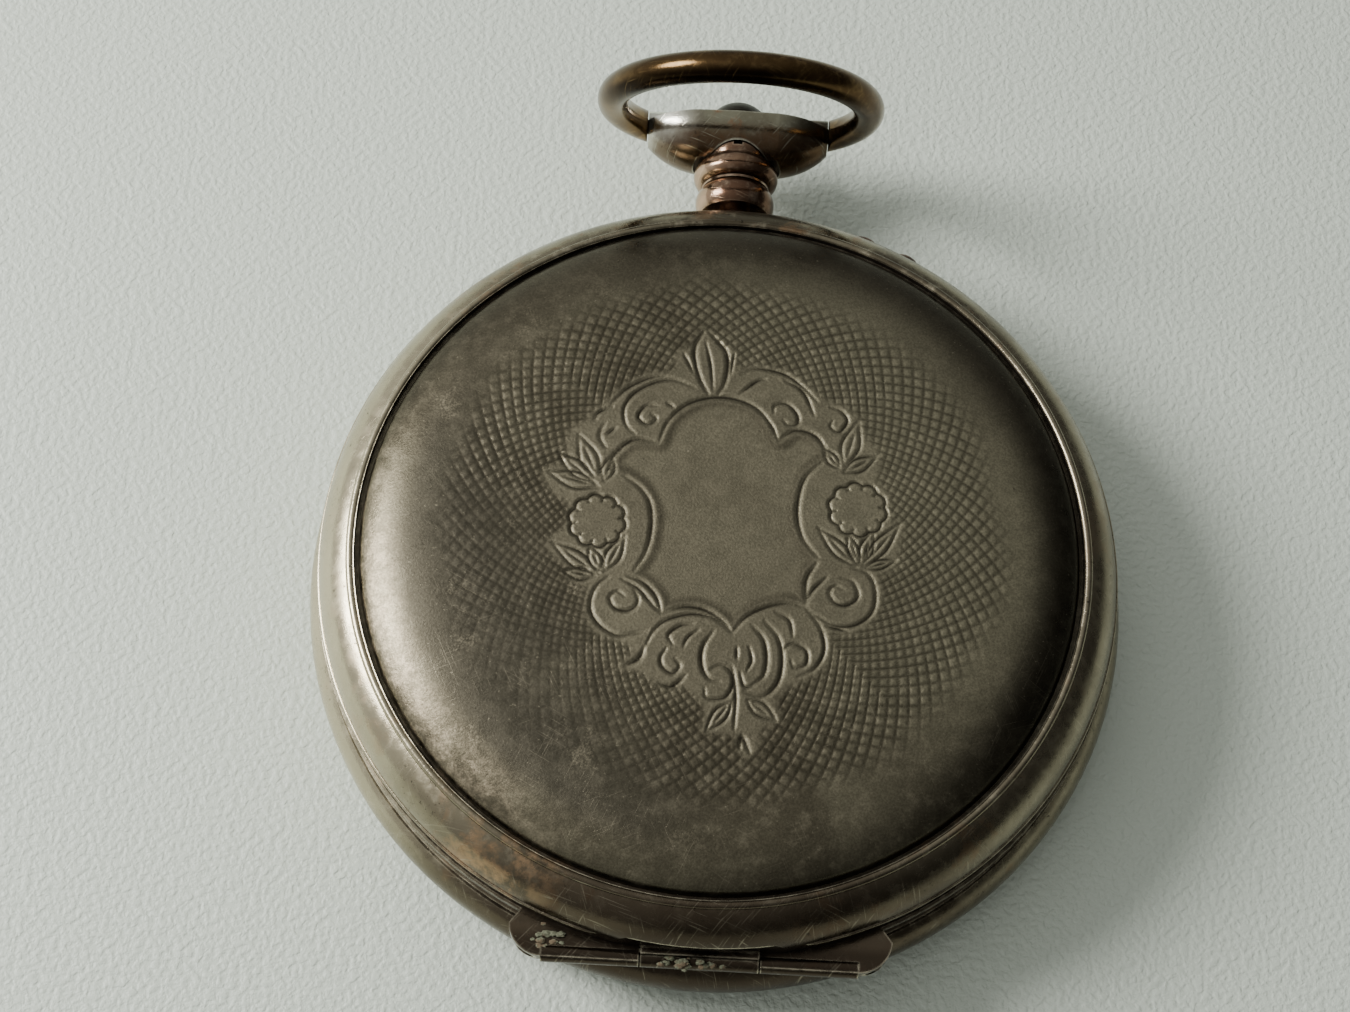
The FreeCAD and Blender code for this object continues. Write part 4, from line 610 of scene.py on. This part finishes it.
def nearest(x, y, line, reach):
    """Which points lie within reach of a line, their distances, and how far along it they are."""
    low, high = line.min(0) - reach, line.max(0) + reach
    chosen = np.nonzero((x > low[0]) & (x < high[0]) & (y > low[1]) & (y < high[1]))[0]
    start, run = line[:-1], np.diff(line, axis=0)
    dx = x[chosen][:, None] - start[:, 0]
    dy = y[chosen][:, None] - start[:, 1]
    t = np.clip((dx * run[:, 0] + dy * run[:, 1]) / (run ** 2).sum(1), 0, 1)
    away = np.hypot(dx - t * run[:, 0], dy - t * run[:, 1])
    best = away.argmin(1)
    rows = np.arange(len(chosen))
    return chosen, away[rows, best], (best + t[rows, best]) / len(start)


def within(x, y, polygon):
    """Even-odd test of points against a closed polygon."""
    result = np.zeros(len(x), bool)
    for (x1, y1), (x2, y2) in zip(polygon, np.roll(polygon, -1, axis=0)):
        crosses = (y1 > y) != (y2 > y)
        at = (x2 - x1) * (y - y1) / (y2 - y1 if y2 != y1 else 1e-9) + x1
        result ^= crosses & (x < at)
    return result


def engraving(x, y):
    """Cut depth, raised burr, the cartouche's mask and the shield's recess, each 0..1."""
    cos, sin = math.cos(TILT), math.sin(TILT)
    u = (x - FIELD_CENTRE) * cos + y * sin
    v = y * cos - (x - FIELD_CENTRE) * sin
    cut, burr = np.zeros(len(x)), np.zeros(len(x))

    def stroke(line, half_width, taper=True):
        chosen, away, along = nearest(u, v, line, 0.6)
        swell = np.sin(np.pi * along) ** 0.6 if taper else np.ones(len(along))
        width = half_width * (0.5 + 0.5 * swell)
        depth = 0.45 + 0.55 * swell
        cut[chosen] = np.maximum(cut[chosen], depth * np.exp(-1.4 * (away / width) ** 2))
        burr[chosen] = np.maximum(burr[chosen], 0.6 * depth * np.exp(-((away - 1.7 * width) / 0.08) ** 2))

    for half_width, strokes in STROKES.items():
        for points in strokes:
            stroke(curve_through(points), half_width)
    for leaf in LEAVES:
        *edges, vein = leaf_edges(*leaf)
        for edge in edges:
            stroke(curve_through(edge), FINE)
        stroke(np.array(vein), 0.09)
    for centre_x, centre_y, radius in ROSETTES:
        turn = np.linspace(0, 2 * math.pi, 161)
        scallop = radius - 0.14 + 0.2 * np.abs(np.sin(5 * turn))
        petals = np.column_stack([centre_x + scallop * np.cos(turn), centre_y + scallop * np.sin(turn)])
        stroke(petals, FINE, False)
        for index in range(10):
            angle = index * math.pi / 5
            ray = np.array([[0.98, 0.98], [0.84, 0.84]]) * radius * 0.88
            stroke(np.array([centre_x, centre_y]) + ray * [math.cos(angle), math.sin(angle)], 0.1)
    outline = curve_through(OUTLINE, closed=True, pitch=0.3)
    field = within(u, v, outline).astype(float)
    chosen, away, _ = nearest(u, v, outline, 0.5)
    near = np.clip(away / 0.22, 0, 1) * 0.5
    field[chosen] = np.where(field[chosen] > 0.5, 0.5 + near, 0.5 - near)
    shield = np.vstack([curve_through(points)[:-1] for points in STROKES[BOLD][:SHIELD_SIDES]])
    recess = within(u, v, shield).astype(float)
    chosen, away, _ = nearest(u, v, np.vstack([shield, shield[:1]]), SHIELD_BEVEL)
    eased = np.clip(away / SHIELD_BEVEL, 0, 1)
    recess[chosen] *= eased * eased * (3 - 2 * eased)
    return cut, burr * (1 - cut), field, recess


def waves(x, y, size, seed, count=7):
    """Smooth unevenness of about -1..1 with features of the given size."""
    draw = np.random.default_rng(seed)
    total = np.zeros_like(x)
    for _ in range(count):
        angle, phase = draw.uniform(0, 2 * math.pi, 2)
        pitch = size * draw.uniform(0.7, 1.5)
        total += np.sin(2 * math.pi * (x * math.cos(angle) + y * math.sin(angle)) / pitch + phase)
    return total / math.sqrt(count) / 1.4


GUILLOCHE_CELLS = 102
GUILLOCHE_PITCH = 17.8
GUILLOCHE_EDGE = 17.9
GUILLOCHE_DEPTH, CUT_DEPTH, SHIELD_DEPTH, BURR_HEIGHT = 0.055, 0.09, 0.055, 0.009
INNER_RADIUS, FINE_RADIUS = 14.6, 18.3
INNER_GRID, FINE_RINGS, COARSE_RINGS = 300, 38, 20
DOME_FOOT, DOME_INNER_TOP = 10.8, 13.0
PROFILE = [(0, 13.5), (5, 13.47), (10, 13.36), (14, 13.19), (17, 12.96), (19, 12.66), (20.5, 12.26),
           (21.5, 11.78), (22.05, 11.35), (22.22, DOME_FOOT)]
INSIDE = [(21.6, DOME_FOOT), (21.25, 11.4), (20.8, 11.85), (19.1, 12.3), (10.0, 12.81)]


def dome_profile():
    """Radius and height along the dome's outside, from its centre to its edge."""
    profile = curve_through(PROFILE)
    profile[:, 0] = np.maximum.accumulate(profile[:, 0])
    length = np.concatenate([[0], np.cumsum(np.hypot(*np.diff(profile, axis=0).T))])
    return profile, length


def dome_relief(x, y):
    """Relief in millimetres on the dome, and the values its finish reads: all by place alone."""
    radius = np.hypot(x, y)
    cut, burr, field, recess = engraving(x, y)
    turn = np.arctan2(y, x) * GUILLOCHE_CELLS / math.tau
    swell = np.log(np.maximum(radius, 1.0)) * GUILLOCHE_PITCH
    one = np.abs(np.sin(math.pi * (turn + swell)))
    two = np.abs(np.sin(math.pi * (turn - swell)))
    pillow = np.clip(np.minimum(one, two) / 0.8, 0, 1) ** 0.7
    uneven = waves(x, y, 9.0, 11)
    band = np.clip((GUILLOCHE_EDGE + 0.4 * uneven - radius) / 1.8, 0, 1) * (1 - field)
    wear = 1 / (1 + np.exp(-(-0.8 * x - 0.6 * y - 12.0 + 2.5 * uneven) / 1.6))
    turned = band * (1 - 0.78 * wear)
    rim = np.clip((22.1 - radius) / 1.0, 0, 1)
    height = GUILLOCHE_DEPTH * turned * (pillow - 0.75)
    height += rim * (0.018 * waves(x, y, 13.0, 3) + 0.006 * waves(x, y, 4.0, 4))
    height += BURR_HEIGHT * burr - CUT_DEPTH * cut - SHIELD_DEPTH * recess
    # The guilloché's valleys are patina; the band along the shield's bevel is painted shade.
    valley = np.maximum(turned * (1 - pillow), 2.2 * recess * (1 - recess))
    return height, {"cut": cut, "burr": burr, "field": field, "valley": valley}


def inner_grid():
    """Points and faces of the engraved middle, a square grid bent into a disc, and its edge loop."""
    line = np.linspace(-1, 1, INNER_GRID + 1)
    a, b = (grid.ravel() for grid in np.meshgrid(line, line, indexing="ij"))
    wide = np.abs(a) > np.abs(b)
    share = np.where(wide, a, b)
    angle = np.where(wide, math.pi / 4 * b / np.where(a == 0, 1, a),
                     math.pi / 2 - math.pi / 4 * a / np.where(b == 0, 1, b))
    radius = INNER_RADIUS * share
    index = np.arange((INNER_GRID + 1) ** 2).reshape(INNER_GRID + 1, INNER_GRID + 1)
    faces = np.stack([index[:-1, :-1], index[1:, :-1], index[1:, 1:], index[:-1, 1:]], -1).reshape(-1, 4)
    loop = np.concatenate([index[:-1, 0], index[-1, :-1], index[:0:-1, -1], index[0, :0:-1]])
    return radius * np.cos(angle), radius * np.sin(angle), faces, loop


def dome():
    """The engine-turned, engraved back: a fine middle and an outer band that closes the shell."""
    profile, length = dome_profile()
    x, y, faces, loop = inner_grid()
    inner_faces = len(faces)
    angles = np.arctan2(y[loop], x[loop])
    edge = np.interp(INNER_RADIUS, profile[:, 0], length)
    fine_edge = np.interp(FINE_RADIUS, profile[:, 0], length)
    along = np.concatenate([np.linspace(edge, fine_edge, FINE_RINGS)[1:],
                            np.linspace(fine_edge, length[-1], COARSE_RINGS)[1:]])
    xs, ys, loops = [x], [y], [loop]
    for distance in along:
        radius = np.interp(distance, length, profile[:, 0])
        loops.append(np.arange(len(loop)) + sum(map(len, xs)))
        xs.append(radius * np.cos(angles))
        ys.append(radius * np.sin(angles))
    x, y = np.concatenate(xs), np.concatenate(ys)
    outer_count = len(x)
    relief, values = dome_relief(x, y)
    z = np.interp(np.hypot(x, y), profile[:, 0], profile[:, 1])
    z[loops[-1]] = DOME_FOOT
    points = np.column_stack([x, y, z + relief * (z > DOME_FOOT + 0.1)])
    for radius, height in INSIDE:
        loops.append(np.arange(len(loop)) + len(points))
        points = np.vstack([points, np.column_stack([radius * np.cos(angles), radius * np.sin(angles),
                                                     np.full(len(loop), height)])])
    points = np.vstack([points, [[0, 0, DOME_INNER_TOP]]])
    bands = [np.stack([first, second, np.roll(second, 1), np.roll(first, 1)], -1)
             for first, second in zip(loops, loops[1:])]
    faces = np.vstack([faces, *bands]).tolist()
    innermost = loops[-1]
    faces += [[int(last), len(points) - 1, int(before)]
              for last, before in zip(innermost, np.roll(innermost, 1))]

    whole = bpy.data.meshes.new("whole")
    whole.from_pydata(points.tolist(), [], faces)
    shell = bmesh.new()
    shell.from_mesh(whole)
    bmesh.ops.recalc_face_normals(shell, faces=shell.faces)
    shell.to_mesh(whole)
    shell.free()
    normals = np.zeros(len(points) * 3)
    whole.vertex_normals.foreach_get("vector", normals)
    normals = normals.reshape(-1, 3)
    corners = [list(face.vertices) for face in whole.polygons]
    bpy.data.meshes.remove(whole)
    for name, chosen in (("dome_middle", corners[:inner_faces]), ("dome_band", corners[inner_faces:])):
        used = np.unique(np.concatenate([np.ravel(face) for face in chosen]))
        renumber = np.zeros(len(points), int)
        renumber[used] = np.arange(len(used))
        local = [[int(renumber[corner]) for corner in face] for face in chosen]
        piece = piece_from(name, points[used], local, "back_cover", finishes["dome_silver"])
        piece.data.materials.append(finishes["case_silver"])
        inside = [int(min(face) >= outer_count - len(loop)) for face in chosen]
        piece.data.polygons.foreach_set("material_index", inside)
        piece.data.normals_split_custom_set_from_vertices(normals[used].tolist())
        for key, numbers in values.items():
            padded = np.concatenate([numbers, np.zeros(len(points) - outer_count)])
            piece.data.attributes.new(key, "FLOAT", "POINT").data.foreach_set("value", padded[used])
        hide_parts("back_cover_dome")


# ---- corrosion at the hinge

# Each crust's name, body, centre, spread, number of lumps and seed.
CRUSTS = (
    ("verdigris_knuckle", "back_cover", (0.0, -25.35, 7.42), (1.1, 0.2, 0.1), 26, 5),
    ("verdigris_ear", "case", (-9.3, -24.3, 7.4), (0.75, 0.32, 0.04), 24, 6),
)


def crust(name, body, centre, reach, count, seed):
    """Small broken lumps of corrosion scattered about a place on a body."""
    draw = np.random.default_rng(seed)
    joined = bmesh.new()
    for _ in range(count):
        place = Vector(centre) + Vector(draw.normal(0, 1, 3) * reach)
        radius = draw.uniform(0.06, 0.20)
        phase = draw.uniform(0, 6, 3)
        for vertex in bmesh.ops.create_icosphere(joined, subdivisions=3, radius=1.0)["verts"]:
            way = vertex.co.normalized()
            lumpy = 1 + 0.2 * math.sin(5 * way.x + phase[0]) * math.cos(6 * way.y + phase[1])
            lumpy += 0.12 * math.sin(9 * way.z + phase[2]) + draw.uniform(-0.06, 0.06)
            vertex.co = place + Vector((way.x * 1.6, way.y, way.z * 0.45)) * radius * lumpy
    bmesh.ops.scale(joined, vec=(MM, MM, MM), verts=joined.verts)
    piece_of(name, joined, body, verdigris)


def piece_of(name, shape, body, material):
    """A smooth piece from a bmesh that is already in metres."""
    mesh = bpy.data.meshes.new(name)
    shape.to_mesh(mesh)
    shape.free()
    mesh.materials.append(material)
    mesh.polygons.foreach_set("use_smooth", [True] * len(mesh.polygons))
    piece = bpy.data.objects.new(name, mesh)
    bpy.context.scene.collection.objects.link(piece)
    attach(piece, body)
    return piece


# ---- the beads on the cover's rim

# Each bead's radius, height, half thickness, and the degrees left open either side of the hinge.
BEADS = ((22.74, 11.02, 0.27, 0.0), (24.86, 8.45, 0.14, 14.0))
BEAD_SIDES = 12


def beads():
    """Two fine rolled beads on the back cover's rim; the outer one stops at the hinge."""
    points, faces = [], []
    for radius, height, thick, opening in BEADS:
        first = len(points)
        turns = np.radians(np.linspace(opening - 90, 270 - opening, 361))
        from_end = math.pi - np.abs(turns - math.pi / 2) - math.radians(opening)
        ends = np.clip(from_end / 0.03, 0, 1) if opening else 1
        for angle, swell in zip(turns, np.broadcast_to(ends, len(turns))):
            for side in np.arange(BEAD_SIDES) * math.tau / BEAD_SIDES:
                out = radius + thick * swell * math.cos(side)
                points.append((out * math.cos(angle), out * math.sin(angle),
                               height + thick * swell * math.sin(side)))
        for ring in range(len(turns) - 1):
            start = first + ring * BEAD_SIDES
            for side in range(BEAD_SIDES):
                here, beside = start + side, start + (side + 1) % BEAD_SIDES
                faces.append([here, here + BEAD_SIDES, beside + BEAD_SIDES, beside])
    piece_from("rim_beads", points, faces, "back_cover", finishes["case_silver"])


# ---- the setting pin's guard

GUARD_ANGLE, GUARD_SPREAD = 66.7, 3.4
GUARD_RADIUS, GUARD_HEIGHT = 25.45, 6.65
LUMP = (0.78, 1.15, 0.75)


def guard():
    """The two worn, long lumps beside the setting pin."""
    shape = bmesh.new()
    for turn in (-GUARD_SPREAD, GUARD_SPREAD):
        angle = math.radians(GUARD_ANGLE + turn)
        out = Vector((math.cos(angle), math.sin(angle), 0))
        along = Vector((-out.y, out.x, 0))
        for vertex in bmesh.ops.create_icosphere(shape, subdivisions=4, radius=1.0)["verts"]:
            way = vertex.co.normalized()
            worn = 1 + 0.05 * math.sin(4 * way.x + turn) - 0.10 * max(0.0, way.z) ** 2
            vertex.co = (out * (GUARD_RADIUS + LUMP[0] * way.x * worn) + along * (LUMP[1] * way.y * worn)
                         + Vector((0, 0, GUARD_HEIGHT + LUMP[2] * way.z * worn)))
    bmesh.ops.scale(shape, vec=(MM, MM, MM), verts=shape.verts)
    lumps = piece_of("guard_worn", shape, "case", finishes["guard_brown"])
    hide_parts("setting_pin_guard")


# ---- the printed dial

NUMERALS = ("XII", "I", "II", "III", "IIII", "V", "VI", "VII", "VIII", "IX", "X", "XI")
GLYPHS = {
    "I": (0.55, [((0, 0), (0, 1), 0.30), ((-0.26, 0), (0.26, 0), 0.09), ((-0.26, 1), (0.26, 1), 0.09)]),
    "V": (1.15, [((-0.36, 1), (0.02, 0), 0.30), ((0.38, 1), (0.02, 0), 0.10), ((-0.6, 1), (-0.12, 1), 0.09),
                 ((0.2, 1), (0.56, 1), 0.09)]),
    "X": (1.15, [((-0.36, 1), (0.36, 0), 0.30), ((0.36, 1), (-0.36, 0), 0.10), ((-0.6, 1), (-0.12, 1), 0.09),
                 ((0.14, 1), (0.58, 1), 0.09), ((-0.58, 0), (-0.14, 0), 0.09), ((0.12, 0), (0.6, 0), 0.09)]),
}
DIAL_FACE, SECONDS_FACE, PRINT = 2.70, 2.85, 0.015
MINUTE_TRACK, SECONDS_TRACK, SECONDS_Y = (18.7, 19.6), (3.35, 3.85), -9.9
NUMERAL_FOOT, NUMERAL_TALL, NUMERAL_WIDE = 14.6, 3.1, 1.05


def bar(points, faces, start, end, width, face):
    """A thin raised bar of print from start to end."""
    start, end = np.asarray(start, float), np.asarray(end, float)
    run = (end - start) / np.hypot(*(end - start))
    side = np.array([-run[1], run[0]]) * width / 2
    first = len(points)
    for height in (face, face - PRINT):
        for corner in (start + side, start - side, end - side, end + side):
            points.append((*corner, height))
    for quad in ((0, 1, 2, 3), (7, 6, 5, 4), (0, 4, 5, 1), (1, 5, 6, 2), (2, 6, 7, 3), (3, 7, 4, 0)):
        faces.append([first + corner for corner in quad])


def hoop(points, faces, radius, width, centre_y, face, count=180):
    first = len(points)
    for ring, height in ((radius - width / 2, face), (radius - width / 2, face - PRINT),
                         (radius + width / 2, face - PRINT), (radius + width / 2, face)):
        for i in range(count):
            angle = math.tau * i / count
            points.append((ring * math.cos(angle), centre_y + ring * math.sin(angle), height))
    for ring in range(4):
        for i in range(count):
            j = (i + 1) % count
            upper = (ring + 1) % 4
            faces.append([first + ring * count + i, first + ring * count + j,
                          first + upper * count + j, first + upper * count + i])


def dial_print():
    """Roman hours, a minute track and a seconds track, as thin raised print."""
    points, faces = [], []
    for hour, numeral in enumerate(NUMERALS):
        angle = math.tau * hour / 12
        out = np.array([-math.sin(angle), math.cos(angle)])
        right = np.array([-out[1], out[0]])
        total = sum(GLYPHS[letter][0] for letter in numeral) * NUMERAL_WIDE
        pen = -total / 2
        for letter in numeral:
            advance, strokes = GLYPHS[letter]
            middle = pen + advance * NUMERAL_WIDE / 2
            for (x1, y1), (x2, y2), width in strokes:
                ends = [out * (NUMERAL_FOOT + NUMERAL_TALL * y) + right * (middle + NUMERAL_WIDE * x)
                        for x, y in ((x1, y1), (x2, y2))]
                bar(points, faces, *ends, width, DIAL_FACE)
            pen += advance * NUMERAL_WIDE
    for minute in range(60):
        angle = math.tau * minute / 60
        out = np.array([-math.sin(angle), math.cos(angle)])
        bold = minute % 5 == 0
        bar(points, faces, *[out * radius for radius in MINUTE_TRACK], 0.22 if bold else 0.08, DIAL_FACE)
        centre = np.array([0, SECONDS_Y])
        bar(points, faces, *[centre + out * radius for radius in SECONDS_TRACK], 0.12 if bold else 0.05,
            SECONDS_FACE)
    for radius in MINUTE_TRACK:
        hoop(points, faces, radius, 0.06, 0, DIAL_FACE)
    for radius in SECONDS_TRACK:
        hoop(points, faces, radius, 0.05, SECONDS_Y, SECONDS_FACE)
    piece_from("dial_print", points, faces, "case", paint(), smooth=False)


# ---- stage, light and camera

def stage():
    floor = bmesh.new()
    bmesh.ops.create_grid(floor, x_segments=8, y_segments=8, size=0.9)
    mesh = bpy.data.meshes.new("floor")
    floor.to_mesh(mesh)
    floor.free()
    mesh.materials.append(table_top())
    plane = bpy.data.objects.new("floor", mesh)
    bpy.context.scene.collection.objects.link(plane)


WINDOW_PLACE, WINDOW_SIZE, WINDOW_POWER = (-0.243, 0.05, 0.205), 0.15, 1.25
SKY_WEIGHTS, SKY_STRENGTH = (-0.62, 0.20, 0.36), 0.75


def area_light(name, place, target, size, power, colour):
    light = bpy.data.lights.new(name, "AREA")
    light.shape = "DISK"
    light.size = size
    light.energy = power
    light.color = colour
    lamp = bpy.data.objects.new(name, light)
    lamp.location = place
    lamp.rotation_euler = (Vector(target) - Vector(place)).to_track_quat("-Z", "Y").to_euler()
    bpy.context.scene.collection.objects.link(lamp)


def lighting():
    area_light("window", WINDOW_PLACE, (0, 0, 0), WINDOW_SIZE, WINDOW_POWER, (1.0, 0.985, 0.95))
    world = bpy.data.worlds.new("studio")
    bpy.context.scene.world = world
    world.use_nodes = True
    tree = world.node_tree
    tree.nodes.clear()
    parts = add(tree, "SeparateXYZ", Vector=add(tree, "TexCoord").outputs["Generated"]).outputs
    across, along, up = [calc(tree, "MULTIPLY", parts[axis], SKY_WEIGHTS[axis]) for axis in range(3)]
    bright = calc(tree, "ADD", calc(tree, "ADD", across, along), up)
    sky = mix(tree, step(tree, bright, -0.45, 0.95), (0.085, 0.085, 0.08), (1.0, 1.02, 0.97))
    background = add(tree, "Background", Color=sky, Strength=SKY_STRENGTH)
    output = tree.nodes.new("ShaderNodeOutputWorld")
    tree.links.new(background.outputs[0], output.inputs[0])


# The camera's azimuth, elevation and roll in degrees, its place in millimetres, and its lens.
CAMERA_TURNS = (-0.157, 66.18, 3.306)
CAMERA_PLACE = (-3.085, -62.606, 158.372)
LENS = 69.3


def camera():
    azimuth, elevation, roll = (math.radians(turn) for turn in CAMERA_TURNS)
    right = Vector((math.cos(azimuth), math.sin(azimuth), 0))
    back = Vector((math.sin(azimuth) * math.cos(elevation), -math.cos(azimuth) * math.cos(elevation),
                   math.sin(elevation)))
    up = back.cross(right)
    side = right * math.cos(roll) + up * math.sin(roll)
    top = up * math.cos(roll) - right * math.sin(roll)
    data = bpy.data.cameras.new("camera")
    data.lens = LENS
    data.sensor_width = 36
    data.clip_start = 0.01
    data.clip_end = 5
    eye = bpy.data.objects.new("camera", data)
    matrix = Matrix((side, top, back)).transposed().to_4x4()
    matrix.translation = Vector(CAMERA_PLACE) * MM
    eye.matrix_world = matrix
    bpy.context.scene.collection.objects.link(eye)
    bpy.context.scene.camera = eye


verdigris = crust_green()
finish_nodes()
dome()
beads()
guard()
for settings in CRUSTS:
    crust(*settings)
dial_print()
stage()
lighting()
camera()
